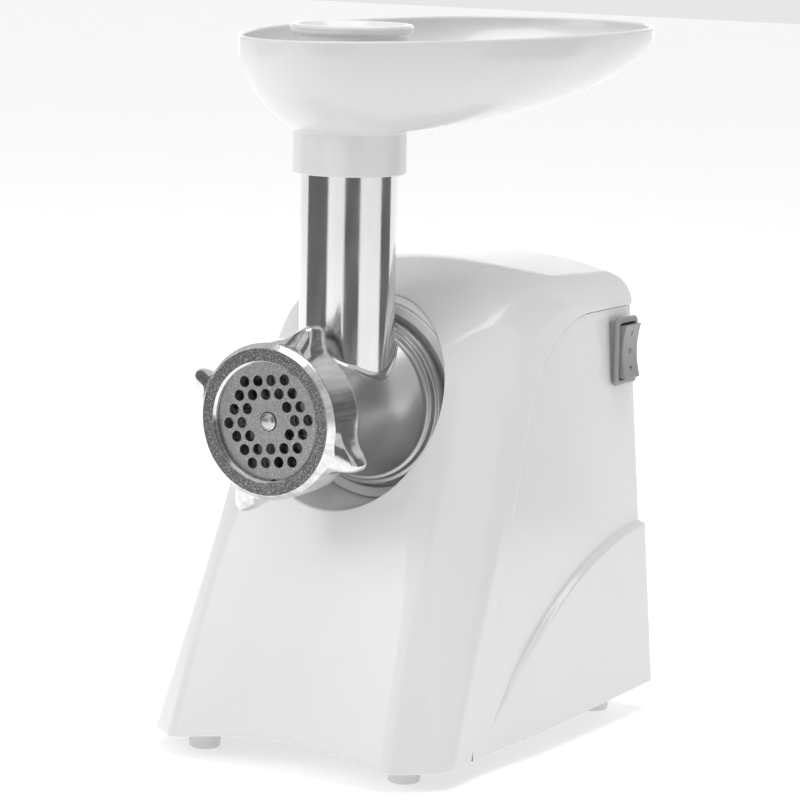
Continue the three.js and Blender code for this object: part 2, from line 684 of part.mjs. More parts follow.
function gearOutline(teeth, module, turn, centre) {
  const pitch = teeth * module / 2;
  const half = (Math.PI * module / 2 - TOOTH_BACKLASH) / 2;
  const levels = [[-1.15, 1.42], [0.85, 0.5]];
  const points = [];
  for (let k = 0; k < teeth; k += 1) {
    const angle = turn + 2 * Math.PI * k / teeth;
    const flank = levels.map(([height, width]) => {
      const radius = pitch + height * module;
      return [radius, half * width / radius];
    });
    for (const [radius, wide] of flank) {
      points.push([centre[0] + radius * Math.cos(angle - wide), centre[1] + radius * Math.sin(angle - wide)]);
    }
    for (const [radius, wide] of [...flank].reverse()) {
      points.push([centre[0] + radius * Math.cos(angle + wide), centre[1] + radius * Math.sin(angle + wide)]);
    }
  }
  return points;
}

function meshTurns(angle, driverTeeth, driverTurn, wheelTeeth) {
  // The wheel's turn that puts one of its gaps on the driver's nearest tooth.
  const driverPhase = (angle - driverTurn) * driverTeeth / (2 * Math.PI);
  const fraction = driverPhase - Math.floor(driverPhase);
  return angle + Math.PI + (0.5 + fraction) * 2 * Math.PI / wheelTeeth;
}

function directionTo(from, to) {
  return Math.atan2(to[1] - from[1], to[0] - from[0]);
}

function addGears() {
  const { motor, first, second, output } = centres;
  const [one, two, three] = STAGES;
  const turns = {};
  turns.first = meshTurns(directionTo(motor, first), one.pinion, 0, one.wheel);
  turns.second = meshTurns(directionTo(first, second), two.pinion, 0, two.wheel);
  turns.output = meshTurns(directionTo(second, output), three.pinion, 0, three.wheel);

  const firstWheel = extrudeY(gearOutline(one.wheel, one.module, turns.first, first), ...GEAR_Y[0]);
  const firstTeeth = gearOutline(two.pinion, two.module, 0, first);
  const firstPinion = extrudeY(firstTeeth, GEAR_Y[1][0] - 0.5, GEAR_Y[0][0] + 1);
  const firstBore = rodY(AXLE_RADIUS + GAP, 60, 180, 12, ...first);
  add('first_gear', firstWheel.add(firstPinion).subtract(firstBore), 'gear');

  const secondWheel = extrudeY(gearOutline(two.wheel, two.module, turns.second, second), ...GEAR_Y[1]);
  const secondTeeth = gearOutline(three.pinion, three.module, 0, second);
  const secondPinion = extrudeY(secondTeeth, GEAR_Y[2][0] - 0.5, GEAR_Y[1][0] + 1);
  const secondBore = rodY(AXLE_RADIUS + GAP, 60, 180, 12, ...second);
  add('second_gear', secondWheel.add(secondPinion).subtract(secondBore), 'gear');

  const outputWheel = extrudeY(gearOutline(three.wheel, three.module, turns.output, output), ...GEAR_Y[2]);
  const outputBore = rodY(OUTPUT_SHAFT_RADIUS + GAP, 60, 180, 20);
  add('output_gear', outputWheel.subtract(outputBore), 'gear');

  for (const [name, centre] of [['first_axle', first], ['second_axle', second]]) {
    add(name, rodY(AXLE_RADIUS, CASE_FRONT_Y + 0.6, CASE_BACK_Y + CASE_PLATE - 0.6, 12, ...centre), 'steel');
  }
}

function addGearbox() {
  const { motor, first, second, output } = centres;
  const [one, two, three] = STAGES;
  const wheelRadius = (stage) => stage.module * (stage.wheel / 2 + 1) + CASE_ROOM;
  const circles = [
    [output, wheelRadius(three)], [second, wheelRadius(two)], [first, wheelRadius(one)], [motor, 12],
  ];
  const outline = (grow) => hullOf(circles.flatMap(([c, r]) => circlePoints(c, r + grow, 24)));
  const split = CASE_FRONT_Y + CASE_PLATE;
  const tub = extrudeY(outline(CASE_WALL), split + GAP, CASE_BACK_Y + CASE_PLATE)
    .subtract(extrudeY(outline(0), split - 5, CASE_BACK_Y));
  const axleHoles = [first, second].map((c) => rodY(AXLE_RADIUS + GAP, 80, 180, 12, ...c));
  const shaftBoss = tubeY(OUTPUT_SHAFT_RADIUS + 4, OUTPUT_SHAFT_RADIUS + RUNNING_GAP, GEAR_Y[2][1] + 1.2,
    CASE_BACK_Y + 0.5);
  const back = tub.add(shaftBoss)
    .subtract(rodY(OUTPUT_SHAFT_RADIUS + RUNNING_GAP, 80, 180, 20))
    .subtract(rodY(8, 80, 180, 16, ...motor))
    .subtract(axleHoles[0]).subtract(axleHoles[1]);
  add('gearbox_case', back, 'dark');

  const cover = extrudeY(outline(CASE_WALL), CASE_FRONT_Y, split)
    .subtract(rodY(OUTPUT_HUB_RADIUS + 3, 80, 180, 20))
    .subtract(axleHoles[0]).subtract(axleHoles[1]);
  add('gearbox_cover', cover, 'dark');
  const bush = tubeY(OUTPUT_HUB_RADIUS + 3 - GAP, OUTPUT_HUB_RADIUS + RUNNING_GAP, CASE_FRONT_Y, split);
  add('output_bush', bush, 'brass');

  const hubFront = SOCKET_FLOOR_Y - 1.5;
  const shaft = latheY([
    [0, hubFront], [OUTPUT_HUB_RADIUS, hubFront], [OUTPUT_HUB_RADIUS, GEAR_Y[2][0] - GAP],
    [OUTPUT_SHAFT_RADIUS, GEAR_Y[2][0] - GAP], [OUTPUT_SHAFT_RADIUS, CASE_BACK_Y + CASE_PLATE],
    [0, CASE_BACK_Y + CASE_PLATE],
  ], 24);
  const hexSocket = rodY(DRIVE_HEX_RADIUS + 0.5, hubFront - 5, hubFront + 7, 6);
  add('output_shaft', shaft.subtract(hexSocket), 'steel');
}

// ---- Motor --------------------------------------------------------------------------------

function addMotor() {
  const [mx, mz] = centres.motor;
  const bossLength = BEARING_LENGTH + 0.5;
  const stackFront = MOTOR_FRONT_Y + bossLength + WINDING_LENGTH + 1;
  const stackBack = stackFront + STACK_LENGTH;
  const [width, height] = STATOR_SIZE;
  const bore = ARMATURE_RADIUS + AIR_GAP;

  const frame = extrudeY(roundedRectangle([mx, mz], [width, height], 6, 2), stackFront, stackBack);
  let stator = frame.subtract(rodY(bore, 0, 300, 24, mx, mz));
  for (const x of [mx - 20.7, mx + 20.7]) {
    for (const z of [mz - height / 2 + 10, mz + height / 2 - 10]) {
      stator = stator.subtract(box([x - 3.1, x + 3.1], [0, 300], [z - 3, z + 3]));
    }
  }
  add('stator_core', stator, 'steel');

  for (const [name, side] of [['field_coil_upper', 1], ['field_coil_lower', -1]]) {
    const mid = mz + side * (height / 2 - 10);
    const outerLoop = box([mx - 23.4, mx + 23.4], [stackFront - 6, stackBack + 6], [mid - 2.6, mid + 2.6]);
    const innerLoop = box([mx - 18, mx + 18], [stackFront - GAP, stackBack + GAP], [mid - 5, mid + 5]);
    add(name, outerLoop.subtract(innerLoop), 'copper');
  }

  const drum = [stackBack + WINDING_LENGTH + 1.5, stackBack + WINDING_LENGTH + 1.5 + COMMUTATOR_LENGTH];
  const rearBracketY = drum[1] + 1.6;
  const brackets = [
    { name: 'front', y: MOTOR_FRONT_Y, leg: [MOTOR_FRONT_Y, stackFront - GAP] },
    { name: 'rear', y: rearBracketY, leg: [stackBack + GAP, rearBracketY + BRACKET_THICKNESS] },
  ];
  for (const { name, y, leg } of brackets) {
    let bracket = extrudeY(roundedRectangle([mx, mz], [width, 18], 4, 2), y, y + BRACKET_THICKNESS)
      .add(rodY(BEARING_RADIUS + 3, y, y + bossLength, 16, mx, mz));
    for (const side of [-1, 1]) {
      const x = mx + side * (width / 2 - 3);
      bracket = bracket.add(box([x - 3, x + 3], leg, [mz - 7, mz + 7]));
    }
    const bearingHole = rodY(BEARING_RADIUS + GAP, y - 10, y + 12, 16, mx, mz);
    add(`${name}_bracket`, bracket.subtract(bearingHole), 'steel');
    const from = y + 0.2;
    const bush = tubeY(BEARING_RADIUS, MOTOR_SHAFT_RADIUS + GAP, from, from + BEARING_LENGTH, 16, mx, mz);
    add(`${name}_bearing`, bush, 'brass');
  }

  const shaftFront = GEAR_Y[0][0] - 1;
  const fanY = [rearBracketY + bossLength + 1.5, rearBracketY + bossLength + 1.5 + FAN_LENGTH];
  const shaftBack = fanY[1] + 1;
  const pinionTeeth = gearOutline(STAGES[0].pinion, STAGES[0].module, 0, [mx, mz]);
  const pinion = extrudeY(pinionTeeth, shaftFront, GEAR_Y[0][1] + 1);
  const rod = rodY(MOTOR_SHAFT_RADIUS, GEAR_Y[0][1], shaftBack, 16, mx, mz);
  add('motor_shaft', pinion.add(rod), 'steel');

  const core = tubeY(ARMATURE_RADIUS, MOTOR_SHAFT_RADIUS + GAP, stackFront, stackBack, 24, mx, mz);
  add('armature_core', core, 'steel');
  const windings = [
    ['front', stackFront - WINDING_LENGTH, stackFront - GAP],
    ['rear', stackBack + GAP, stackBack + WINDING_LENGTH],
  ];
  for (const [name, y0, y1] of windings) {
    const winding = tubeY(ARMATURE_RADIUS - 5, MOTOR_SHAFT_RADIUS + 1, y0, y1, 16, mx, mz);
    add(`armature_winding_${name}`, winding, 'copper');
  }
  add('commutator', tubeY(COMMUTATOR_RADIUS, MOTOR_SHAFT_RADIUS + GAP, ...drum, 20, mx, mz), 'copper');

  const brushY = (drum[0] + drum[1]) / 2;
  for (const [name, side] of [['left', -1], ['right', 1]]) {
    const near = mx + side * (COMMUTATOR_RADIUS + RUNNING_GAP);
    const far = mx + side * (COMMUTATOR_RADIUS + 14);
    const span = (a, b) => [Math.min(a, b), Math.max(a, b)];
    add(`brush_${name}`, box(span(near, far), [brushY - 3, brushY + 3], [mz - 2.5, mz + 2.5]), 'dark');
    const start = mx + side * (COMMUTATOR_RADIUS + 3);
    const end = mx + side * (width / 2 - 6 - GAP);
    const sleeve = box(span(start, end), [brushY - 4.6, brushY + 4.6], [mz - 4.1, mz + 4.1])
      .subtract(box(span(start - side * 5, far + side), [brushY - 3.3, brushY + 3.3], [mz - 2.8, mz + 2.8]));
    add(`brush_holder_${name}`, sleeve, 'brass');
  }

  let fan = tubeY(8, MOTOR_SHAFT_RADIUS + GAP, ...fanY, 16, mx, mz)
    .add(tubeY(FAN_RADIUS, MOTOR_SHAFT_RADIUS + 2, fanY[0], fanY[0] + 1.6, 24, mx, mz));
  for (let k = 0; k < 8; k += 1) {
    const blade = box([7, FAN_RADIUS - 0.5], fanY, [-0.8, 0.8]).rotate([0, 45 * k, 0]).translate([mx, 0, mz]);
    fan = fan.add(blade);
  }
  add('cooling_fan', fan, 'dark');
}

// ---- Grinding head ------------------------------------------------------------------------

function addHead() {
  const mouth = 1;
  const seat = PLATE_THICKNESS + GAP;
  const back = SOCKET_FLOOR_Y - FLANGE_SET_BACK;
  const barrel = latheY([
    [PLATE_RADIUS + GAP, mouth], [BARREL_MOUTH_RADIUS, mouth], [BARREL_MOUTH_RADIUS, 17.5],
    [BARREL_RADIUS + 1.5, 20], [BARREL_RADIUS, 23], [BARREL_RADIUS, 40], [BARREL_RADIUS + 1.2, 50],
    [BARREL_RADIUS + 3.6, 60], [BARREL_RADIUS + 8, 69], [FLANGE_RADIUS - 5, 74], [FLANGE_RADIUS - 5, 76],
    [FLANGE_RADIUS - 2.5, 76], [FLANGE_RADIUS - 2.5, 79], [FLANGE_RADIUS, 79], [FLANGE_RADIUS, back],
    [AUGER_END_RADIUS + 0.6, back], [AUGER_END_RADIUS + 0.6, back - 6], [BORE_RADIUS, back - 6],
    [BORE_RADIUS, 11], [KNIFE_BORE_RADIUS, 11], [KNIFE_BORE_RADIUS, seat], [PLATE_RADIUS + GAP, seat],
  ], 32);
  const neck = rodZ(NECK_RADIUS, AXIS_Z + 5, NECK_TOP_Z, 0, NECK_Y, 32);
  const rearBore = rodY(AUGER_END_RADIUS + 0.6, back - 7, back + 5, 32);
  const bore = rodY(BORE_RADIUS, 12, back - 6, 32).add(rearBore);
  const neckBore = rodZ(NECK_BORE_RADIUS, AXIS_Z + 14, NECK_TOP_Z + 5, 0, NECK_Y, 32);
  const key = box([-1.5, 1.5], [mouth, seat], [AXIS_Z - PLATE_RADIUS - 0.8, AXIS_Z - PLATE_RADIUS + 1])
    .translate([0, 0, -AXIS_Z]).rotate([0, -PLATE_TURN, 0]).translate([0, 0, AXIS_Z]);
  add('head_barrel', barrel.add(neck).subtract(bore).subtract(neckBore).add(key), 'polished');

  const hexagon = (radius, y0, y1, turn) => rodY(radius, y0, y1, 6).translate([0, 0, -AXIS_Z])
    .rotate([0, turn, 0]).translate([0, 0, AXIS_Z]);
  const core = latheY([
    [0, 10.6], [9, 10.6], [8.5, 40], [AUGER_END_RADIUS, back - 6 - RUNNING_GAP],
    [AUGER_END_RADIUS, back + 0.5], [0, back + 0.5],
  ], 16);
  const pin = latheY([
    [0, -PIN_PROUD], [PIN_RADIUS - 1.5, -PIN_PROUD + 0.3], [PIN_RADIUS, -0.4], [PIN_RADIUS, 6], [0, 6],
  ], 16);
  const square = rodY(DRIVE_SQUARE_RADIUS, 4.6, 11, 4);
  const tail = hexagon(DRIVE_HEX_RADIUS, back, SOCKET_FLOOR_Y + 4.5, 0);
  add('auger', core.add(pin).add(square).add(tail).add(flight(11, back - 7)), 'polished');

  let knife = tubeY(9.5, 2, 4.7, 10, 16);
  for (let k = 0; k < 4; k += 1) {
    const blade = extrudeY([[4, -4], [KNIFE_RADIUS - 1.5, -3], [KNIFE_RADIUS, 2.5], [4, 3.2]], 4.7, 9)
      .rotate([0, 90 * k, 0]).translate([0, 0, AXIS_Z]);
    knife = knife.add(blade);
  }
  add('knife', knife.subtract(rodY(DRIVE_SQUARE_RADIUS + 0.45, 0, 20, 4)), 'steel');

  let plate = rodY(PLATE_RADIUS, 0, PLATE_THICKNESS, 36);
  plate = plate.subtract(rodY(PIN_RADIUS + GAP, -5, 10, 20));
  for (const [x, z] of plateHoles()) plate = plate.subtract(rodY(HOLE_RADIUS, -5, 10, 6, x, AXIS_Z + z));
  const notch = box([-1.9, 1.9], [-5, 10], [-PLATE_RADIUS - 2, -PLATE_RADIUS + 1.7])
    .rotate([0, -PLATE_TURN, 0]).translate([0, 0, AXIS_Z]);
  add('cutting_plate', plate.subtract(notch), 'steel');

  const end = RING_FRONT_Y + RING_LENGTH;
  let ring = latheY([
    [RING_OPENING_RADIUS, RING_FRONT_Y], [RING_RADIUS - RING_BEVEL[0], RING_FRONT_Y],
    [RING_RADIUS, RING_FRONT_Y + RING_BEVEL[1]], [RING_RADIUS, end], [BARREL_MOUTH_RADIUS + GAP, end],
    [BARREL_MOUTH_RADIUS + GAP, -GAP], [RING_OPENING_RADIUS, -GAP],
  ], 40);
  for (let k = 0; k < LUG_COUNT; k += 1) {
    ring = ring.add(extrudeY(lugOutline(LUG_TURN + 360 / LUG_COUNT * k), LUG_FRONT_Y, end - 1));
  }
  add('ring_nut', ring, 'polished');
}

function plateHoles() {
  const angle = THREE.MathUtils.degToRad(PLATE_TURN);
  const holes = [];
  for (let row = -3; row <= 3; row += 1) {
    const count = 7 - Math.abs(row);
    for (let k = 0; k < count; k += 1) {
      const x = (k - (count - 1) / 2) * HOLE_PITCH;
      const z = row * HOLE_PITCH * Math.sqrt(3) / 2;
      const steps = Math.max(Math.abs(row), Math.abs(x / HOLE_PITCH) + Math.abs(row) / 2);
      if (steps < 1.5) continue;
      holes.push([x * Math.cos(angle) - z * Math.sin(angle), x * Math.sin(angle) + z * Math.cos(angle)]);
    }
  }
  return holes;
}

function lugOutline(turn) {
  // [degrees from the tip, share of the lug's height]
  const shape = [
    [-20, -0.1], [-14, 0.04], [-9, 0.22], [-6, 0.52], [-3.2, 0.92], [0, 1],
    [3.2, 0.85], [9, 0.42], [18, 0.12], [30, -0.1],
  ];
  const outline = shape.map(([degrees, share]) => {
    const angle = THREE.MathUtils.degToRad(turn + degrees);
    const radius = RING_RADIUS + (LUG_RADIUS - RING_RADIUS) * share;
    return [radius * Math.cos(angle), AXIS_Z + radius * Math.sin(angle)];
  });
  for (const degrees of [30, 5, -20]) {
    const angle = THREE.MathUtils.degToRad(turn + degrees);
    outline.push([(RING_RADIUS - 2) * Math.cos(angle), AXIS_Z + (RING_RADIUS - 2) * Math.sin(angle)]);
  }
  return outline;
}

function flight(y0, y1) {
  // The auger's screw blade, rooted inside its core.
  const steps = Math.round((y1 - y0) / AUGER_PITCH * 10);
  const rows = [];
  for (let k = 0; k <= steps; k += 1) {
    const y = y0 + (y1 - y0) * k / steps;
    const angle = 2 * Math.PI * (y - y0) / AUGER_PITCH;
    const half = 1.6;
    const y2 = Math.min(Math.max(y, y0 + 3), y1 - 3);
    const tip = BORE_RADIUS - 0.8;
    const section = [[6, y2 - 3], [tip, y2 - half], [tip, y2 + half], [6, y2 + 3]];
    rows.push(section.map(([r, py]) => [r * Math.cos(angle), py, AXIS_Z + r * Math.sin(angle)]));
  }
  return gridSolid(rows);
}

// ---- Tray and pusher ----------------------------------------------------------------------

function rimPoint(turn, inset) {
  // [x, y] on the tray's rim: two half ovals that meet at its widest place.
  const across = Math.cos(turn);
  const along = Math.sin(turn);
  const length = (along < 0 ? TRAY_WIDEST_Y - TRAY_FRONT_Y : TRAY_REAR_Y - TRAY_WIDEST_Y) - inset;
  const power = along < 0 ? TRAY_FRONT_POWER : TRAY_REAR_POWER;
  const x = (TRAY_HALF_WIDTH - inset) * Math.sign(across) * Math.abs(across) ** (2 / power);
  const y = TRAY_WIDEST_Y + length * Math.sign(along) * Math.abs(along) ** (2 / power);
  return [x, y];
}

function bowlCurve(turn, startRadius, startZ, inset) {
  // Points from the neck outwards to the rim, shallow at first and steep at the rim.
  const steps = 6;
  const start = [startRadius * Math.cos(turn), NECK_Y + startRadius * Math.sin(turn)];
  const end = rimPoint(turn, inset);
  const reachOut = Math.hypot(end[0], end[1] - NECK_Y);
  const power = 1.25 + 0.45 * THREE.MathUtils.clamp((reachOut - 60) / 120, 0, 1);
  const points = [];
  for (let k = 0; k <= steps; k += 1) {
    const u = Math.sin(Math.PI / 2 * k / steps);
    const rise = 1 - Math.sqrt(Math.max(1 - u ** power, 0));
    const [x, y] = start.map((value, i) => value + (end[i] - value) * u);
    points.push([x, y, startZ + (TRAY_RIM_Z - startZ) * rise]);
  }
  return points;
}

function traySection(turn) {
  const round = (r, z) => [r * Math.cos(turn), NECK_Y + r * Math.sin(turn), z];
  const throat = NECK_TOP_Z + GAP;
  const fit = NECK_RADIUS + GAP;
  return [
    round(COLLAR_RADIUS, COLLAR_BOTTOM_Z),
    ...bowlCurve(turn, COLLAR_RADIUS + 0.5, COLLAR_TOP_Z, 0),
    ...bowlCurve(turn, NECK_BORE_RADIUS, COLLAR_TOP_Z + TRAY_WALL, TRAY_WALL).reverse(),
    round(NECK_BORE_RADIUS, throat), round(fit, throat), round(fit, COLLAR_BOTTOM_Z),
  ];
}

function addTray() {
  const segments = 32;
  const sections = [];
  for (let k = 0; k < segments; k += 1) {
    sections.push(traySection(2 * Math.PI * (k + 0.5) / segments));
  }
  add('tray', ringSolid(sections), 'housing');

  const top = PUSHER_TOP_Z;
  const hollow = PUSHER_RADIUS - PUSHER_WALL;
  const flange = PUSHER_FLANGE_RADIUS;
  const pusher = latheZ([
    [0, top - PUSHER_WALL], [flange - 5, top - PUSHER_WALL], [flange - 2.6, top], [flange - 0.6, top],
    [flange, top - 1.2], [flange, top - 3.4], [flange - 1, top - 4.6], [flange - 2, top - 5],
    [flange - 2.6, top - 12], [PUSHER_RADIUS, top - 14], [PUSHER_RADIUS, PUSHER_BOTTOM_Z],
    [hollow, PUSHER_BOTTOM_Z], [hollow, top - 8], [0, top - 8],
  ], 24, 0, NECK_Y);
  add('pusher', pusher, 'housing');
}

function addCordInlet() {
  const bore = INLET_RADIUS - 1.4;
  const lip = INLET_RADIUS + 2;
  const inlet = latheY([
    [bore, REAR_Y - 6], [lip, REAR_Y - 6], [lip, REAR_Y - 3.6], [INLET_RADIUS, REAR_Y - 3.6],
    [INLET_RADIUS, REAR_Y + 2.6], [lip + 0.4, REAR_Y + 2.6], [lip + 0.4, REAR_Y + 5.4], [bore, REAR_Y + 5.4],
  ], 20, ...INLET_PLACE);
  add('cord_inlet_bush', inlet, 'trim');
}

addHousing();
addSwitch();
addLock();
addGearbox();
addGears();
addMotor();
addHead();
addTray();
addCordInlet();

export default group;
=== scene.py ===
# Electric meat grinder: the visible model, its materials, the photograph's camera and the light.
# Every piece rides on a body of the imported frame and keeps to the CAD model's box within 0.5 mm.

import math

import bmesh
import bpy
import numpy as np
from mathutils import Matrix, Vector


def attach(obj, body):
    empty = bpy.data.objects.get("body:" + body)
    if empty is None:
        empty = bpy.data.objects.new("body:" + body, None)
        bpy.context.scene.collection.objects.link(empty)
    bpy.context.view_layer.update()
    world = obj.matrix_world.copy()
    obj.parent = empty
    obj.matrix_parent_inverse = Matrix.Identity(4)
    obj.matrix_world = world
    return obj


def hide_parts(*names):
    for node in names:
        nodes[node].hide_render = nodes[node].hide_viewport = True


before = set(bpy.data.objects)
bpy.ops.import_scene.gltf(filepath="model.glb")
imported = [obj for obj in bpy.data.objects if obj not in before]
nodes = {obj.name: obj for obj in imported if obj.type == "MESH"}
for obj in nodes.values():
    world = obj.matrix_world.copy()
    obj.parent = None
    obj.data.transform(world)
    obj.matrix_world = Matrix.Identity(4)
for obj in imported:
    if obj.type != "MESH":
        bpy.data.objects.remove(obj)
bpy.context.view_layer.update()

# Lengths below are millimetres from the cutting plate's outer face (y = 0) and the floor (z = 0).
SHIFT_Y = -136.5
AXIS_Z = 157.3
GAP = 0.3

HALF_WIDTH = 78.0
SIDE_DRAFT = 0.078
FRONT_FOOT_Y = 6.0
FRONT_LEAN = 0.363
CREASE_X = 56.5
CREASE_DRAFT = 0.0585
SHOULDER_SLOPE = 0.78
REAR_Y = 216.0
TOP_Z = 217.0
TOP_FALL = 0.045
TOP_ARCH = 0.0024
CROWN_Y = 140.0
FRONT_TOP_RADIUS = 52.0
TOP_EDGE_RADIUS = 11.0
FOOT_EDGE_RADIUS = 6.0  # the front's upright edges start with this radius at the floor
FOOT_EDGE_GROWTH = 0.12
EDGE_BLEND = (-34.0, 4.0)  # where the upright edges' radius turns into the roof's
REAR_EDGE_RADIUS = 5.0
CREASE_RADIUS = 2.0
CREASE_GROWTH = 0.0012
CREASE_SHARP_Z = 60.0  # the crease keeps its radius up to here
WALL = 2.8
REAR_SHELL_INSET = 0.9
FENDER_PROUD = 2.2
FENDER_TOP_Z = 90.0
FENDER_CURVE = 0.003
FENDER_STEP = (-0.5, 1.5)  # from just above its top line to full
FENDER_FADE = (62.0, 112.0)  # along y, from nothing to full
FRONT_EDGE_Z = 8.0
FRONT_ARCH = 6.0
SIDE_START_Y = 60.0  # behind this the lower edge climbs
REAR_EDGE_RISE = 6.5
PARTING_FOOT_Y = 43.4
PARTING_LEAN = 0.455
PARTING_TOP_Z = 192.0
PARTING_RADIUS = 64.0
DOME_Y = 135.0  # the rays that sample the skin start on this upright line,
DOME_Z = 150.0  # and above this height they fan out from its end
HOUSING_RAYS = 520
NOSE_END_Y = 118.0  # the front's skin lies before this at every height of the socket
TOP_ROW = 240.0  # the last row of rays, straight up but for a cap
EDGE_ROLL = 0.7
MOUTH_ROLL = 0.8
PARTING_ROLL = 0.25

SOCKET_RADIUS = 45.4
SOCKET_FLOOR_Y = 87.0
SOCKET_BOTTOM_RADIUS = 2.5

FRONT_FEET = (52.4, 31.8)  # x of the right one, y
REAR_FEET = (56.0, REAR_Y - 18)
INLET_PLACE = (-45.0, 40.0)

PLATE_RADIUS = 26.8
PLATE_THICKNESS = 4.0
PLATE_BEVEL = 0.2
HOLE_PITCH = 6.8
HOLE_RADIUS = 2.4
PLATE_TURN = 7.4
PIN_RADIUS = 3.9
BARREL_MOUTH_RADIUS = 28.9
BARREL_RADIUS = 23.2
BARREL_BORE_RADIUS = 20.2
FLANGE_RADIUS = 38.5
NECK_Y = 62.0
NECK_RADIUS = 21.2
NECK_BORE_RADIUS = 19.0
NECK_TOP_Z = 276.0
RING_RADIUS = 34.0
RING_FRONT_Y = -3.0
RING_LENGTH = 22.0
LUG_RADIUS = 45.5
LUG_COUNT = 4
LUG_TURN = 68.0

COLLAR_RADIUS = 25.0
COLLAR_BOTTOM_Z = 260.0
COLLAR_TOP_Z = 279.0
TRAY_RIM_Z = 320.2
TRAY_FRONT_Y = 2.0
TRAY_REAR_Y = 276.0
TRAY_WIDEST_Y = 148.0
TRAY_HALF_WIDTH = 71.0
TRAY_FRONT_POWER = 1.85
TRAY_REAR_POWER = 2.5
TRAY_WALL = 2.6
PUSHER_RADIUS = 17.8
PUSHER_WALL = 2.4
PUSHER_FLANGE_RADIUS = 27.0
PUSHER_TOP_Z = 325.0
PUSHER_BOTTOM_Z = 187.0

SWITCH_Y = 199.5
SWITCH_Z = 172.0
SWITCH_DEPTH = 16.0
BEZEL_HALF = (10.25, 15.75)  # along y, along z
BEZEL_LIP = 1.5
BEZEL_CORNER = 2.5
BEZEL_PROUD = 3.6
BEZEL_STAND_OFF = 1.7
BEZEL_EDGE = 1.3
WELL_HALF = (7.6, 13.2)
ROCKER_HALF = (7.2, 12.7)
ROCKER_RISE = (2.4, 1.8)  # at the middle, and the rest at its ends
ROCKER_AXIS_DEPTH = 1.2
MARK_DEPTH = 0.2
MARK_PROUD = 0.06
LOCK_Y = 102.0


# ---- Materials ----------------------------------------------------------------------------

def shader(name):
    material = bpy.data.materials.new(name)
    material.use_nodes = True
    tree = material.node_tree
    return material, tree, tree.nodes["Principled BSDF"]


def noise(tree, scale, detail=3.0, stretch=(1, 1, 1), roughness=0.5):
    place = tree.nodes.new("ShaderNodeTexCoord")
    mapping = tree.nodes.new("ShaderNodeMapping")
    mapping.inputs["Scale"].default_value = stretch
    texture = tree.nodes.new("ShaderNodeTexNoise")
    texture.inputs["Scale"].default_value = scale
    texture.inputs["Detail"].default_value = detail
    texture.inputs["Roughness"].default_value = roughness
    tree.links.new(place.outputs["Object"], mapping.inputs["Vector"])
    tree.links.new(mapping.outputs["Vector"], texture.inputs["Vector"])
    return texture.outputs["Fac"]


def ranged(tree, value, low, high, start=0.3, end=0.7):
    node = tree.nodes.new("ShaderNodeMapRange")
    node.inputs["From Min"].default_value = start
    node.inputs["From Max"].default_value = end
    node.inputs["To Min"].default_value = low
    node.inputs["To Max"].default_value = high
    tree.links.new(value, node.inputs["Value"])
    return node.outputs["Result"]


def two_tone(tree, value, dark, light, start=0.3, end=0.7):
    ramp = tree.nodes.new("ShaderNodeValToRGB")
    ramp.color_ramp.elements[0].position = start
    ramp.color_ramp.elements[0].color = (*dark, 1)
    ramp.color_ramp.elements[1].position = end
    ramp.color_ramp.elements[1].color = (*light, 1)
    tree.links.new(value, ramp.inputs["Fac"])
    return ramp.outputs["Color"]


def bump(tree, height, strength, distance, under=None):
    node = tree.nodes.new("ShaderNodeBump")
    node.inputs["Strength"].default_value = strength
    node.inputs["Distance"].default_value = distance
    tree.links.new(height, node.inputs["Height"])
    if under is not None:
        tree.links.new(under, node.inputs["Normal"])
    return node.outputs["Normal"]


def plastic(name, dark, light, rough, grain=0.12, grain_scale=900.0, coat=0.0, soft=0.0):
    material, tree, principled = shader(name)
    broad = noise(tree, 14.0, 4.0)
    fine = noise(tree, grain_scale, 2.0)
    tree.links.new(two_tone(tree, broad, dark, light), principled.inputs["Base Color"])
    tree.links.new(ranged(tree, noise(tree, 60.0, 5.0), rough * 0.88, rough * 1.15),
                   principled.inputs["Roughness"])
    wave = bump(tree, noise(tree, 38.0, 1.0), 0.05, 0.0008)
    tree.links.new(bump(tree, fine, grain, 0.00006, wave), principled.inputs["Normal"])
    principled.inputs["IOR"].default_value = 1.5
    principled.inputs["Coat Weight"].default_value = coat
    principled.inputs["Coat Roughness"].default_value = 0.08
    if soft:
        principled.inputs["Subsurface Weight"].default_value = soft
        principled.inputs["Subsurface Radius"].default_value = (0.004, 0.004, 0.0038)
        principled.inputs["Subsurface Scale"].default_value = 1.0
    return material


def metal(name, dark, light, rough_low, rough_high, stretch=(1, 1, 1), scale=140.0, scratch=0.15,
          speck=0.0, speck_scale=1200.0, metallic=1.0):
    material, tree, principled = shader(name)
    principled.inputs["Metallic"].default_value = metallic
    tone = noise(tree, scale, 6.0, stretch, 0.6)
    tree.links.new(two_tone(tree, tone, dark, light, 0.35, 0.65), principled.inputs["Base Color"])
    tree.links.new(ranged(tree, noise(tree, scale * 2.0, 4.0, stretch), rough_low, rough_high),
                   principled.inputs["Roughness"])
    lines = noise(tree, scale * 6.0, 3.0, stretch, 0.7)
    normal = bump(tree, lines, scratch, 0.00005)
    if speck:
        normal = bump(tree, noise(tree, speck_scale, 2.0), speck, 0.0001, normal)
    tree.links.new(normal, principled.inputs["Normal"])
    return material


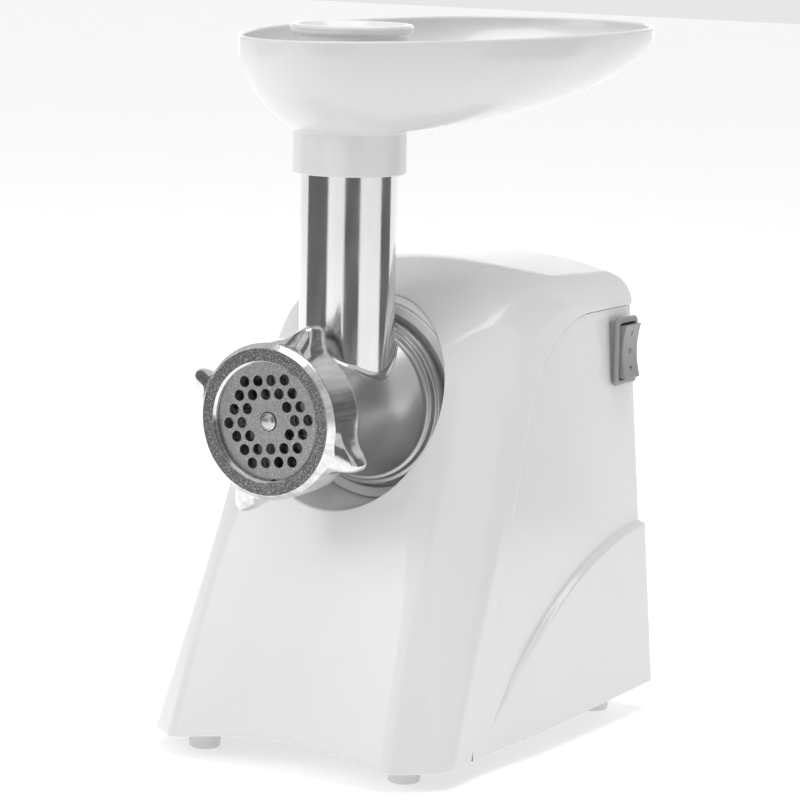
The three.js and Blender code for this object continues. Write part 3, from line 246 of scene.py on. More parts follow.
def sandblasted(name, dark, light, rough):
    # Cast metal with a sparkling matte skin.
    material, tree, principled = shader(name)
    principled.inputs["Metallic"].default_value = 1.0
    place = tree.nodes.new("ShaderNodeTexCoord")
    cells = tree.nodes.new("ShaderNodeTexVoronoi")
    cells.inputs["Scale"].default_value = 4200.0
    tree.links.new(place.outputs["Object"], cells.inputs["Vector"])
    bright = tree.nodes.new("ShaderNodeSeparateColor")
    tree.links.new(cells.outputs["Color"], bright.inputs["Color"])
    ramp = tree.nodes.new("ShaderNodeValToRGB")
    ramp.color_ramp.elements[0].position = 0.1
    ramp.color_ramp.elements[0].color = (*dark, 1)
    ramp.color_ramp.elements[1].position = 0.86
    ramp.color_ramp.elements[1].color = (*light, 1)
    spark = ramp.color_ramp.elements.new(0.985)
    spark.color = (0.8, 0.8, 0.8, 1)
    tree.links.new(bright.outputs["Red"], ramp.inputs["Fac"])
    tree.links.new(ramp.outputs["Color"], principled.inputs["Base Color"])
    tree.links.new(ranged(tree, bright.outputs["Green"], rough - 0.1, rough + 0.1, 0.0, 1.0),
                   principled.inputs["Roughness"])
    coarse = bump(tree, noise(tree, 1600.0, 3.0), 0.35, 0.00005)
    tree.links.new(bump(tree, bright.outputs["Blue"], 0.2, 0.00003, coarse),
                   principled.inputs["Normal"])
    return material


WHITE = plastic("white_moulding", (0.735, 0.737, 0.738), (0.750, 0.752, 0.753),
                0.16, 0.03, 700.0, 0.15, 0.04)
WHITE_INNER = plastic("white_moulding_inner", (0.70, 0.70, 0.70), (0.74, 0.74, 0.74), 0.42, 0.2)
TRAY_WHITE = plastic("tray_moulding", (0.655, 0.658, 0.660), (0.672, 0.674, 0.675),
                     0.2, 0.04, 700.0, 0.1, 0.05)
TRIM = plastic("grey_trim", (0.285, 0.288, 0.291), (0.310, 0.313, 0.316), 0.34, 0.35, 1500.0)
ROCKER = plastic("rocker_grey", (0.275, 0.278, 0.281), (0.302, 0.305, 0.308), 0.3, 0.25, 1500.0)
MARK = plastic("rocker_mark", (0.05, 0.05, 0.05), (0.08, 0.08, 0.08), 0.4)
FOOT = plastic("foot_rubber", (0.74, 0.74, 0.735), (0.80, 0.80, 0.795), 0.62, 0.5, 1300.0)
DARK = plastic("dark_plastic", (0.018, 0.018, 0.020), (0.03, 0.03, 0.032), 0.48, 0.4, 1200.0)
GEAR = plastic("gear_nylon", (0.66, 0.63, 0.53), (0.74, 0.71, 0.61), 0.42, 0.2)
POLISHED = metal("polished_metal", (0.74, 0.744, 0.748), (0.84, 0.844, 0.848), 0.08, 0.17,
                 (1, 1, 0.25), 90.0, 0.05, 0.12, 2600.0)
SATIN = metal("satin_metal", (0.60, 0.603, 0.606), (0.65, 0.653, 0.656), 0.3, 0.36,
              (1, 0.25, 1), 40.0, 0.03, 0.03)
RING_SKIN = metal("ring_skin", (0.60, 0.605, 0.61), (0.82, 0.825, 0.83), 0.10, 0.2,
                  (1, 0.1, 1), 260.0, 0.22, 0.16)
RING_FACE = sandblasted("ring_face", (0.12, 0.122, 0.124), (0.19, 0.192, 0.194), 0.46)
PLATE = sandblasted("plate_steel", (0.30, 0.302, 0.305), (0.36, 0.363, 0.366), 0.42)
PIN = metal("pin_steel", (0.42, 0.42, 0.42), (0.60, 0.60, 0.60), 0.2, 0.34, (1, 1, 1), 200.0, 0.1, 0.2)
STEEL = metal("machine_steel", (0.38, 0.385, 0.39), (0.50, 0.505, 0.51), 0.26, 0.42,
              (1, 0.2, 1), 220.0, 0.3)
LAMINATED = metal("laminated_steel", (0.22, 0.225, 0.23), (0.40, 0.405, 0.41), 0.4, 0.6,
                  (0.05, 1, 0.05), 1500.0, 0.8)
COPPER = metal("copper_wire", (0.45, 0.17, 0.06), (0.68, 0.32, 0.15), 0.25, 0.4, (1, 0.15, 1), 700.0, 0.9)
BRASS = metal("bearing_brass", (0.50, 0.36, 0.14), (0.66, 0.50, 0.23), 0.25, 0.4, (1, 0.3, 1), 240.0, 0.3)
CARBON = plastic("brush_carbon", (0.02, 0.02, 0.02), (0.05, 0.05, 0.05), 0.55, 0.4, 1500.0)

CAD_FINISH = {
    "base_plate": WHITE_INNER, "shaft_seal": DARK, "lock_spring": STEEL, "lock_spring_seat": STEEL,
    "gearbox_case": DARK, "gearbox_cover": DARK, "output_bush": BRASS, "output_shaft": STEEL,
    "first_gear": GEAR, "second_gear": GEAR, "output_gear": GEAR, "first_axle": STEEL, "second_axle": STEEL,
    "stator_core": LAMINATED, "field_coil_upper": COPPER, "field_coil_lower": COPPER,
    "front_bracket": STEEL, "rear_bracket": STEEL, "front_bearing": BRASS, "rear_bearing": BRASS,
    "motor_shaft": STEEL, "armature_core": LAMINATED, "armature_winding_front": COPPER,
    "armature_winding_rear": COPPER, "commutator": COPPER, "brush_left": CARBON, "brush_right": CARBON,
    "brush_holder_left": BRASS, "brush_holder_right": BRASS, "cooling_fan": DARK,
    "auger": SATIN, "knife": STEEL,
}
for node in nodes:
    finish = CAD_FINISH.get(node, STEEL if node.startswith("foot_screw") else WHITE)
    nodes[node].data.materials.clear()
    nodes[node].data.materials.append(finish)


# ---- Mesh helpers -------------------------------------------------------------------------

def to_metres(points):
    points = np.asarray(points, float).reshape(-1, 3)
    return (points + np.array([0.0, SHIFT_Y, 0.0])) * 0.001


def piece(name, points, faces, material, body, stands_for=(), slot=None, weighted=True,
          face_materials=None):
    mesh = bpy.data.meshes.new(name)
    mesh.from_pydata(to_metres(points).tolist(), [], faces)
    materials = material if isinstance(material, (list, tuple)) else [material]
    for item in materials:
        mesh.materials.append(item)
    if face_materials is not None:
        mesh.polygons.foreach_set("material_index", np.asarray(face_materials, np.int32))
    mesh.validate()
    mesh.shade_smooth()
    thing = bpy.data.objects.new(name, mesh)
    bpy.context.scene.collection.objects.link(thing)
    if weighted:
        thing.modifiers.new("even_normals", "WEIGHTED_NORMAL").weight = 50
    settle(thing, body, stands_for)
    return thing


def settle(thing, body, stands_for=()):
    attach(thing, body)
    if stands_for:
        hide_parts(*stands_for)


def grid_faces(rows, columns, close_rows=False, close_columns=True, flip=False, start=0):
    r = np.arange(rows if close_rows else rows - 1)
    c = np.arange(columns if close_columns else columns - 1)
    rr, cc = np.meshgrid(r, c, indexing="ij")
    r2 = (rr + 1) % rows
    c2 = (cc + 1) % columns
    quads = np.stack([rr * columns + cc, rr * columns + c2, r2 * columns + c2, r2 * columns + cc], -1)
    quads = quads.reshape(-1, 4) + start
    return quads[:, ::-1] if flip else quads


def rounded(profile, radii, steps=5, closed=True):
    # The profile's corners turned into arcs; radii is one value or one per corner.
    points = [np.array(p, float) for p in profile]
    count = len(points)
    if not isinstance(radii, (list, tuple)):
        radii = [radii] * count
    result = []
    for i, p in enumerate(points):
        if (not closed and i in (0, count - 1)) or radii[i] <= 0:
            result.append(p)
            continue
        before = points[i - 1] - p
        after = points[(i + 1) % count] - p
        lb, la = np.linalg.norm(before), np.linalg.norm(after)
        before, after = before / lb, after / la
        angle = math.acos(max(-1.0, min(1.0, float(before @ after))))
        if angle > math.pi - 0.02:
            result.append(p)
            continue
        cut = min(radii[i] / math.tan(angle / 2), 0.48 * lb, 0.48 * la)
        radius = cut * math.tan(angle / 2)
        middle = (before + after) / np.linalg.norm(before + after)
        centre = p + middle * (radius / math.sin(angle / 2))
        start, end = p + before * cut - centre, p + after * cut - centre
        a0 = math.atan2(start[1], start[0])
        turn = math.atan2(end[1], end[0]) - a0
        turn = (turn + math.pi) % (2 * math.pi) - math.pi
        for k in range(steps + 1):
            a = a0 + turn * k / steps
            result.append(centre + radius * np.array([math.cos(a), math.sin(a)]))
    return result


def revolve(profile, axis="y", centre=(0.0, AXIS_Z), segments=96, closed=True):
    # profile: [radius, place along the axis]; centre: the other two coordinates of the axis.
    turn = 2 * np.pi * np.arange(segments) / segments
    r = np.array([p[0] for p in profile])[:, None]
    t = np.array([p[1] for p in profile])[:, None]
    a = r * np.cos(turn)[None, :]
    b = r * np.sin(turn)[None, :]
    t = np.broadcast_to(t, a.shape)
    if axis == "y":
        points = np.stack([centre[0] + a, t, centre[1] + b], -1)
    elif axis == "z":
        points = np.stack([centre[0] + a, centre[1] + b, t], -1)
    else:
        points = np.stack([t, centre[0] + a, centre[1] + b], -1)
    return points, grid_faces(len(profile), segments, close_rows=closed)


def turned(name, profile, material, body, axis="y", centre=(0.0, AXIS_Z), segments=96, closed=True, **rest):
    points, faces = revolve(profile, axis, centre, segments, closed)
    return outward(piece(name, points, faces.tolist(), material, body, **rest))


def outward(thing):
    # Welded, with every face turned outward.
    bm = bmesh.new()
    bm.from_mesh(thing.data)
    bmesh.ops.remove_doubles(bm, verts=bm.verts, dist=1e-7)
    bmesh.ops.recalc_face_normals(bm, faces=bm.faces)
    bm.to_mesh(thing.data)
    bm.free()
    return thing


def axis_ring(turn, radius, y):
    # Points around the grinding axis.
    return np.stack([radius * np.cos(turn), np.broadcast_to(y, turn.shape),
                     AXIS_Z + radius * np.sin(turn)], -1)


def neck_ring(turn, radius, z):
    # Points around the neck's upright axis.
    return np.stack([radius * np.cos(turn), NECK_Y + radius * np.sin(turn),
                     np.broadcast_to(z, turn.shape)], -1)


def smooth_step(value, low, high):
    t = np.clip((value - low) / (high - low), 0, 1)
    return t * t * (3 - 2 * t)


# ---- Housing form -------------------------------------------------------------------------

def rounded_max(a, b, radius):
    # The larger of two fields, with their meeting edge rounded.
    arc = np.hypot(np.maximum(radius + a, 0), np.maximum(radius + b, 0))
    return np.minimum(-radius, np.maximum(a, b)) + arc


def housing_field(x, y, z):
    # Negative inside, about the distance in millimetres to the outer skin.
    ax = np.abs(x)
    side = (ax - HALF_WIDTH + SIDE_DRAFT * z) / math.hypot(1, SIDE_DRAFT)
    front = (FRONT_FOOT_Y + FRONT_LEAN * z - y) / math.hypot(1, FRONT_LEAN)
    crease_x = CREASE_X - CREASE_DRAFT * z
    shoulder_y = FRONT_FOOT_Y + FRONT_LEAN * z + SHOULDER_SLOPE * (ax - crease_x)
    shoulder = (shoulder_y - y) / math.sqrt(1 + FRONT_LEAN ** 2 + SHOULDER_SLOPE ** 2)
    rear = y - REAR_Y
    behind = np.maximum(y - CROWN_Y, 0)
    top = z - (TOP_Z - TOP_FALL * behind - TOP_ARCH * ax * ax)
    crease = CREASE_RADIUS + CREASE_GROWTH * np.maximum(z - CREASE_SHARP_Z, 0) ** 2
    nose = rounded_max(front, shoulder, crease)
    sheet = rounded_max(nose, top, FRONT_TOP_RADIUS)
    flank = rounded_max(side, rear, REAR_EDGE_RADIUS)
    # One edge rolls from the front's upright corner into the roof's.
    front_edge = FOOT_EDGE_RADIUS + FOOT_EDGE_GROWTH * z
    edge = front_edge + (TOP_EDGE_RADIUS - front_edge) * smooth_step(top - nose, *EDGE_BLEND)
    return rounded_max(sheet, flank, edge)


def skin(turn, height, level):
    # Point of the skin pushed out by level, on the ray of that turn; above DOME_Z height is a tilt.
    tilt = np.radians(np.clip(height - DOME_Z, 0, 90))
    oz = np.minimum(height, DOME_Z)
    dx, dy, dz = np.cos(turn) * np.cos(tilt), np.sin(turn) * np.cos(tilt), np.sin(tilt)
    low = np.zeros(np.broadcast(turn, height).shape)
    high = low + 260.0
    for _ in range(30):
        middle = (low + high) / 2
        inside = housing_field(dx * middle, DOME_Y + dy * middle, oz + dz * middle) < level
        low = np.where(inside, middle, low)
        high = np.where(inside, high, middle)
    return np.stack([dx * low, DOME_Y + dy * low, oz + dz * low], -1)


def parting(y, z):
    # Signed distance to the parting line: positive in the front shell.
    slope = math.atan(PARTING_LEAN)
    corner_y = PARTING_FOOT_Y + PARTING_LEAN * PARTING_TOP_Z
    run = PARTING_RADIUS * math.tan((math.pi / 2 - slope) / 2)
    cy, cz = corner_y + run, PARTING_TOP_Z - PARTING_RADIUS
    line = -math.cos(slope) * (y - PARTING_FOOT_Y) + math.sin(slope) * z
    arc = np.hypot(y - cy, z - cz) - PARTING_RADIUS
    along = math.sin(slope) * (y - cy) + math.cos(slope) * (z - cz)
    return np.where(y > cy, z - PARTING_TOP_Z, np.where(along > 0, arc, line))


def lower_edge(x, y):
    # Height of the shells' lower edge.
    edge = FRONT_EDGE_Z + 0.5 * np.clip((y - 14) / 46, 0, 1)
    edge = edge + np.maximum(y - SIDE_START_Y, 0) / (REAR_Y + 30 - SIDE_START_Y) * REAR_EDGE_RISE
    arch = FRONT_EDGE_Z + FRONT_ARCH * np.cos(np.pi * np.clip(x / (2 * CREASE_X), -0.5, 0.5))
    return np.where(y < SIDE_START_Y, np.maximum(edge, arch), edge)


def edge_height(turn, level, inset):
    # Height on each ray that lies inset above the lower edge.
    height = np.full(turn.shape, 10.0)
    for _ in range(6):
        p = skin(turn, height, level)
        height = lower_edge(p[..., 0], p[..., 1]) + inset
    return height


def parting_height(turn, level, distance):
    # Height at which each ray's skin point crosses the parting line moved by distance.
    low = np.full(turn.shape, -5.0)
    high = np.full(turn.shape, 239.0)
    for _ in range(26):
        middle = (low + high) / 2
        p = skin(turn, middle, level)
        below = parting(p[..., 1], p[..., 2]) < distance
        low = np.where(below, middle, low)
        high = np.where(below, high, middle)
    return (low + high) / 2


def housing_turns(count):
    # Ray turns spread by length and by how fast the outline bends.
    dense = np.linspace(-np.pi / 2, np.pi / 2, 3001)
    weight = np.zeros(3000)
    for height in (30.0, 110.0):
        p = skin(dense, np.full(dense.shape, height), 0.0)[:, :2]
        step = np.diff(p, axis=0)
        length = np.hypot(step[:, 0], step[:, 1])
        heading = np.unwrap(np.arctan2(step[:, 1], step[:, 0]))
        bend = np.abs(np.gradient(heading))
        weight += length + 14.0 * bend
    total = np.concatenate([[0], np.cumsum(weight)])
    half = np.interp(np.linspace(0, total[-1], count // 2 + 1), total, dense)
    mirrored = np.pi - half[1:-1][::-1]
    return np.concatenate([half, mirrored])


def roll(radius, steps=4):
    # (level, inset) around a rounded edge, from the wall's side to the skin.
    angles = np.linspace(0, np.pi / 2, steps + 1)
    return [(-radius * (1 - math.sin(a)), radius * (1 - math.cos(a))) for a in angles]


def field_normals(points):
    step = 0.02
    x, y, z = points[:, 0], points[:, 1], points[:, 2]
    gradient = np.stack([
        housing_field(x + step, y, z) - housing_field(x - step, y, z),
        housing_field(x, y + step, z) - housing_field(x, y - step, z),
        housing_field(x, y, z + step) - housing_field(x, y, z - step),
    ], -1)
    return gradient / np.linalg.norm(gradient, axis=1, keepdims=True)


def front_shell():
    turn = housing_turns(HOUSING_RAYS)
    rows = []

    def start(level, inset):
        return np.maximum(edge_height(turn, level, inset), parting_height(turn, level, inset))

    rows.append(skin(turn, start(-WALL, 9.0), -WALL))
    rows.append(skin(turn, start(-WALL, 0.0), -WALL))
    for level, inset in roll(EDGE_ROLL):
        rows.append(skin(turn, start(level, inset), level))
    rounded_rows = len(rows)
    base = start(0.0, EDGE_ROLL)
    share = np.linspace(0, 1, 190)[1:-1]
    share = share - 0.04 * np.sin(np.pi * share)
    for t in share:
        rows.append(skin(turn, base + (TOP_ROW - base) * t, 0.0))
    points = np.array(rows)
    count, columns = points.shape[0], points.shape[1]
    flat = points.reshape(-1, 3)
    top = np.array([[0.0, DOME_Y, skin(np.array([0.0]), np.array([TOP_ROW]), 0.0)[0, 2]]])
    flat = np.concatenate([flat, top])
    faces = grid_faces(count, columns)
    # The socket's opening: what lies inside goes, and the cells on its edge end on the circle.
    rim = SOCKET_RADIUS + MOUTH_ROLL
    rho = np.hypot(flat[:, 0], flat[:, 2] - AXIS_Z)
    inside = (rho < rim) & (flat[:, 1] < NOSE_END_Y)
    faces = faces[~inside[faces].all(1)]
    used = np.zeros(len(flat), bool)
    used[faces.ravel()] = True
    move = np.where(inside & used)[0]
    scale = rim / rho[move]
    x = flat[move, 0] * scale
    z = AXIS_Z + (flat[move, 2] - AXIS_Z) * scale
    flat[move] = np.stack([x, face_y(x, z, 0.0), z], -1)
    last = (count - 1) * columns
    cap = [[last + c, last + (c + 1) % columns, len(flat) - 1] for c in range(columns)]
    shell = piece("front_shell", flat, faces.tolist() + cap, WHITE, "housing", ["front_housing"],
                  "housing_plastic", weighted=False)
    # Only the open skin takes the form's own normals; the rolled edge keeps its mesh normals.
    mesh = shell.data
    mesh.update()
    normals = field_normals(flat)
    for k in range(rounded_rows * columns):
        normals[k] = mesh.vertices[k].normal
    mesh.normals_split_custom_set_from_vertices(normals.tolist())


def face_y(x, z, level):
    # y of the front skin at (x, z).
    low = np.full(x.shape, -60.0)
    high = np.full(x.shape, 125.0)
    for _ in range(32):
        middle = (low + high) / 2
        outside = housing_field(x, middle, z) > level
        low = np.where(outside, middle, low)
        high = np.where(outside, high, middle)
    return high


def socket():
    # The wall and floor of the recess, from its rounded mouth on the front skin.
    turn = 2 * np.pi * np.arange(256) / 256
    rows = []
    for level, inset in reversed(roll(MOUTH_ROLL, 5)):
        radius = SOCKET_RADIUS + inset
        x, z = radius * np.cos(turn), AXIS_Z + radius * np.sin(turn)
        rows.append(np.stack([x, face_y(x, z, level), z], -1))
    mouth = rows[-1][:, 1]
    bend_y = SOCKET_FLOOR_Y - SOCKET_BOTTOM_RADIUS
    bend_radius = SOCKET_RADIUS - SOCKET_BOTTOM_RADIUS
    for share in (0.04, 0.3, 0.6, 0.9):
        rows.append(axis_ring(turn, SOCKET_RADIUS, mouth + (bend_y - mouth) * share))
    circles = [(bend_radius + SOCKET_BOTTOM_RADIUS * math.cos(math.pi / 2 * k / 6),
                bend_y + SOCKET_BOTTOM_RADIUS * math.sin(math.pi / 2 * k / 6)) for k in range(7)]
    circles += [(41.0, SOCKET_FLOOR_Y), (25.0, SOCKET_FLOOR_Y), (15.3, SOCKET_FLOOR_Y),
                (15.0, SOCKET_FLOOR_Y + 0.3), (15.0, SOCKET_FLOOR_Y + 3)]
    for radius, y in circles:
        rows.append(axis_ring(turn, radius, y))
    points = np.array(rows)
    faces = grid_faces(points.shape[0], points.shape[1])
    piece("socket_wall", points, faces.tolist(), WHITE, "housing", (), "housing_plastic")


def rear_shell():
    turn = housing_turns(HOUSING_RAYS)

    def fender_top(y):
        return FENDER_TOP_Z - FENDER_CURVE * (REAR_Y + 3 - y) ** 2

    def fender(p):
        y, z = p[..., 1], p[..., 2]
        return smooth_step(fender_top(y) - z, *FENDER_STEP) * smooth_step(y, *FENDER_FADE)

    def place(height, depth):
        p = skin(turn, height, -REAR_SHELL_INSET + depth)
        level = -REAR_SHELL_INSET + (FENDER_PROUD + REAR_SHELL_INSET) * fender(p) + depth
        return skin(turn, height, level)

    rows = [skin(turn, edge_height(turn, -WALL, 9.0), -WALL),
            skin(turn, edge_height(turn, -WALL, 0.0), -WALL)]
    for depth, inset in roll(EDGE_ROLL):
        rows.append(place(edge_height(turn, -REAR_SHELL_INSET + depth, inset), depth))
    low = edge_height(turn, -REAR_SHELL_INSET, EDGE_ROLL)
    least = low + 0.2
    high = np.maximum(parting_height(turn, -REAR_SHELL_INSET, -GAP - PARTING_ROLL), least)
    arc = fender_top(skin(turn, (low + high) / 2, 0.0)[..., 1])
    arc = np.clip(arc, low + 3.5, np.maximum(high - 3.5, low + 3.6))
    narrow = high < low + 8
    # Rows up to the fender's step, closer rows across it, and rows on to the parting line; where
    # the shell is narrow they share its height by these parts.
    below, above = arc - 2.6, arc + 2.0
    bands = [(45, 0.0, 0.35, low, below), (15, 0.35, 0.65, below, above), (69, 0.65, 1.0, above, high)]
    for count, part, part_end, bottom, top in bands:
        for t in np.linspace(0, 1, count + 1)[1:]:
            shared = low + (high - low) * (part + (part_end - part) * t)
            rows.append(place(np.where(narrow, shared, bottom + (top - bottom) * t), 0.0))
    for depth, inset in reversed(roll(PARTING_ROLL, 3)[:-1]):
        height = parting_height(turn, -REAR_SHELL_INSET + depth, -GAP - inset)
        rows.append(place(np.maximum(height, least), depth))
    rows.append(place(np.maximum(parting_height(turn, -WALL, -GAP), least), REAR_SHELL_INSET - WALL))
    points = np.array(rows)
    count, columns = points.shape[0], points.shape[1]
    faces = grid_faces(count, columns)
    # Rays in front of the parting line belong to the front shell only.
    keep_column = (high > low + 0.6) | (np.sin(turn) > 0.2)
    faces = faces[keep_column[faces % columns].all(1)]
    piece("rear_shell", points, faces.tolist(), WHITE, "housing", ["rear_housing"], "housing_plastic")


front_shell()
socket()
rear_shell()


# ---- Feet, socket ring, lock button, cord inlet -------------------------------------------

foot = rounded([(3.0, 0.0), (6.8, 0.0), (8.0, 14.7), (1.7, 14.7), (1.7, 4.0), (3.0, 4.0)],
               [0.3, 1.1, 0.4, 0.1, 0.1, 0.2])
for end, (x, y) in {"front": FRONT_FEET, "rear": REAR_FEET}.items():
    for corner, place in {end + "_left": (-x, y), end + "_right": (x, y)}.items():
        turned("rubber_foot_" + corner, foot, FOOT, "housing", "z", place, 64,
               stands_for=["foot_" + corner], slot="foot_rubber")

turned("socket_lip", rounded([(45.1, 83.7), (40.3, 83.7), (40.3, 86.7), (45.1, 86.7)], [0.9, 0.9, 0.2, 0.2]),
       WHITE, "housing", segments=160, stands_for=["socket_ring"], slot="housing_plastic")

lock_x = -(HALF_WIDTH - SIDE_DRAFT * AXIS_Z)
button = [(0.0, -0.9), (4.5, -1.0), (6.6, -1.5), (8.0, -1.5), (8.0, 9.3), (10.0, 9.3), (10.0, 10.8),
          (2.5, 10.8), (2.5, 20.8), (0.0, 20.8)]
button = rounded([(radius, lock_x + depth) for radius, depth in button],
                 [0, 2.0, 0.4, 0.5, 0.2, 0.2, 0.2, 0.2, 0.3, 0])
turned("release_button", button, TRIM, "lock", "x", (LOCK_Y, AXIS_Z), 96, False,
       stands_for=["lock_button"], slot="trim_plastic")

inlet = [(3.6, -6), (7.0, -6), (7.0, -3.6), (5.0, -3.6), (5.0, 2.6), (7.4, 2.6), (7.4, 5.4), (3.6, 5.4)]
inlet = rounded([(radius, REAR_Y + depth) for radius, depth in inlet],
                [0.3, 0.3, 0.3, 0.1, 0.1, 0.3, 1.1, 0.9])
turned("inlet_bush", inlet, TRIM, "housing", "y", INLET_PLACE, 80,
       stands_for=["cord_inlet_bush"], slot="trim_plastic")


# ---- Grinding head ------------------------------------------------------------------------

def smooth_path(points, per_span=8):
    # Catmull-Rom curve through the points.
    p = [np.array(q, float) for q in points]
    p = [2 * p[0] - p[1]] + p + [2 * p[-1] - p[-2]]
    result = []
    for i in range(1, len(p) - 2):
        for k in range(per_span):
            t = k / per_span
            result.append(0.5 * (2 * p[i] + (p[i + 1] - p[i - 1]) * t
                                 + (2 * p[i - 1] - 5 * p[i] + 4 * p[i + 1] - p[i + 2]) * t ** 2
                                 + (3 * p[i] - p[i - 1] - 3 * p[i + 1] + p[i + 2]) * t ** 3))
    return result + [p[-2]]


FLARE = smooth_path([(BARREL_RADIUS, 22.5), (BARREL_RADIUS, 32.0), (23.25, 40.0), (24.4, 50.0), (26.8, 60.0),
                     (31.2, 69.0), (33.4, 73.2)])


def barrel_radius(y):
    return np.interp(y, [p[1] for p in FLARE], [p[0] for p in FLARE])


def barrel():
    # Its outline from the seat of the plate around the outside to the shaft's hole and the bore.
    mouth = rounded([(27.1, 4.3), (27.1, 1.0), (BARREL_MOUTH_RADIUS, 1.0), (BARREL_MOUTH_RADIUS, 17.5),
                     (24.6, 19.8), (BARREL_RADIUS, 22.5)], [0, 0.3, 0.4, 0.5, 1.0, 0], closed=False)
    steps = rounded([(33.4, 73.2), (33.5, 76.0), (36.0, 76.0), (36.0, 79.0), (FLANGE_RADIUS, 79.0),
                     (FLANGE_RADIUS, 84.0), (10.6, 84.0), (10.6, 78.0), (BARREL_BORE_RADIUS, 78.0),
                     (BARREL_BORE_RADIUS, 11.0), (24.5, 11.0), (24.5, 4.3)],
                    [0, 1.2, 0.7, 0.8, 0.7, 0.6, 0.2, 0.2, 0.2, 0.2, 0.2, 0.2], closed=False)
    profile = list(mouth) + FLARE[1:-1] + list(steps)
    turned("head_casting", profile, SATIN, "head", segments=160, stands_for=["head_barrel"],
           slot="polished_metal")


def neck():
    # The tube from its small fillet on the barrel up to its mouth.
    turn = 2 * np.pi * np.arange(160) / 160
    rows = []

    def seat(radius):
        x, y = radius * np.cos(turn), NECK_Y + radius * np.sin(turn)
        return x, y, AXIS_Z + np.sqrt(np.maximum(barrel_radius(y) ** 2 - x ** 2, 0))

    fillet = 1.6
    x, y, z = seat(NECK_RADIUS + fillet)
    rows.append(np.stack([x, y, z - 0.4], -1))
    for k in range(7):
        a = math.pi / 2 * k / 6
        radius = NECK_RADIUS + fillet * (1 - math.sin(a))
        x, y, z = seat(radius)
        rows.append(np.stack([x, y, z + fillet * (1 - math.cos(a))], -1))
    lowest = rows[-1][:, 2]
    for share in np.linspace(0, 1, 12)[1:-1]:
        rows.append(neck_ring(turn, NECK_RADIUS, lowest + (NECK_TOP_Z - 0.8 - lowest) * share))
    for r, z in [(NECK_RADIUS, NECK_TOP_Z - 0.8), (NECK_RADIUS - 0.15, NECK_TOP_Z - 0.3),
                 (NECK_RADIUS - 0.6, NECK_TOP_Z), (NECK_BORE_RADIUS + 0.5, NECK_TOP_Z),
                 (NECK_BORE_RADIUS, NECK_TOP_Z - 0.6), (NECK_BORE_RADIUS, AXIS_Z + 24)]:
        rows.append(neck_ring(turn, r, z))
    points = np.array(rows)
    faces = grid_faces(points.shape[0], points.shape[1])
    piece("neck_tube", points, faces.tolist(), POLISHED, "head", (), "polished_metal")


def ring_nut():
    count = 900
    turn = 2 * np.pi * np.arange(count) / count
    # A lug's reach, as a share of its full one, by degrees from its tip.
    shape = np.array([(-26, 0), (-20, 0.012), (-14, 0.06), (-9.5, 0.2), (-6.4, 0.5), (-3.6, 0.9),
                      (-1.4, 0.99), (0, 1.0), (1.6, 0.975), (4.5, 0.78), (9, 0.42), (14, 0.2),
                      (20, 0.075), (28, 0.015), (36, 0)])
    degrees = np.degrees(turn)
    lug = np.zeros(count)
    for k in range(LUG_COUNT):
        away = (degrees - LUG_TURN - 360 / LUG_COUNT * k + 180) % 360 - 180
        lug = np.maximum(lug, np.interp(away, shape[:, 0], shape[:, 1]))
    # The lugs' corners softened along the turn.
    shifts = range(-9, 10)
    kernel = np.exp(-0.5 * (np.array(shifts) / 3.4) ** 2)
    kernel /= kernel.sum()
    lug = sum(w * np.roll(lug, s) for w, s in zip(kernel, shifts))
    back = RING_FRONT_Y + RING_LENGTH
    front = rounded([(29.2, -0.3), (25.5, -0.3), (25.5, -2.0), (26.5, RING_FRONT_Y), (31.9, RING_FRONT_Y),
                     (RING_RADIUS, -0.2), (RING_RADIUS, 3.0)],
                    [0.2, 0.2, 0.35, 0.25, 0.5, 1.2, 0], 5, closed=False)
    outside = [np.array((RING_RADIUS, y)) for y in np.linspace(3.0, back - 1.2, 38)[1:]]
    end = rounded([(RING_RADIUS, back - 1.2), (RING_RADIUS, back), (29.2, back)], [0, 0.8, 0], 5,
                  closed=False)[1:]
    profile = list(front) + outside + list(end)
    rows = []
    for r, y in profile:
        reach = min(max(y / (back - 0.3), 0.0), 1.0)
        dome = max(1 - abs(2 * reach - 1) ** 3.2, 0.0) ** 0.62
        weight = dome if r > 33.2 else 0.0
        radius = r + (LUG_RADIUS - RING_RADIUS) * lug * weight
        rows.append(axis_ring(turn, radius, y))
    points = np.array(rows)
    faces = grid_faces(len(rows), count, close_rows=True)
    on_face = [abs(y - RING_FRONT_Y) < 0.02 for _, y in profile]
    own = [int(on_face[k] and on_face[(k + 1) % len(rows)]) for k in range(len(rows)) for _ in range(count)]
    outward(piece("lug_ring", points, faces.tolist(), [RING_SKIN, RING_FACE], "ring", ["ring_nut"],
                  "polished_metal", face_materials=own))


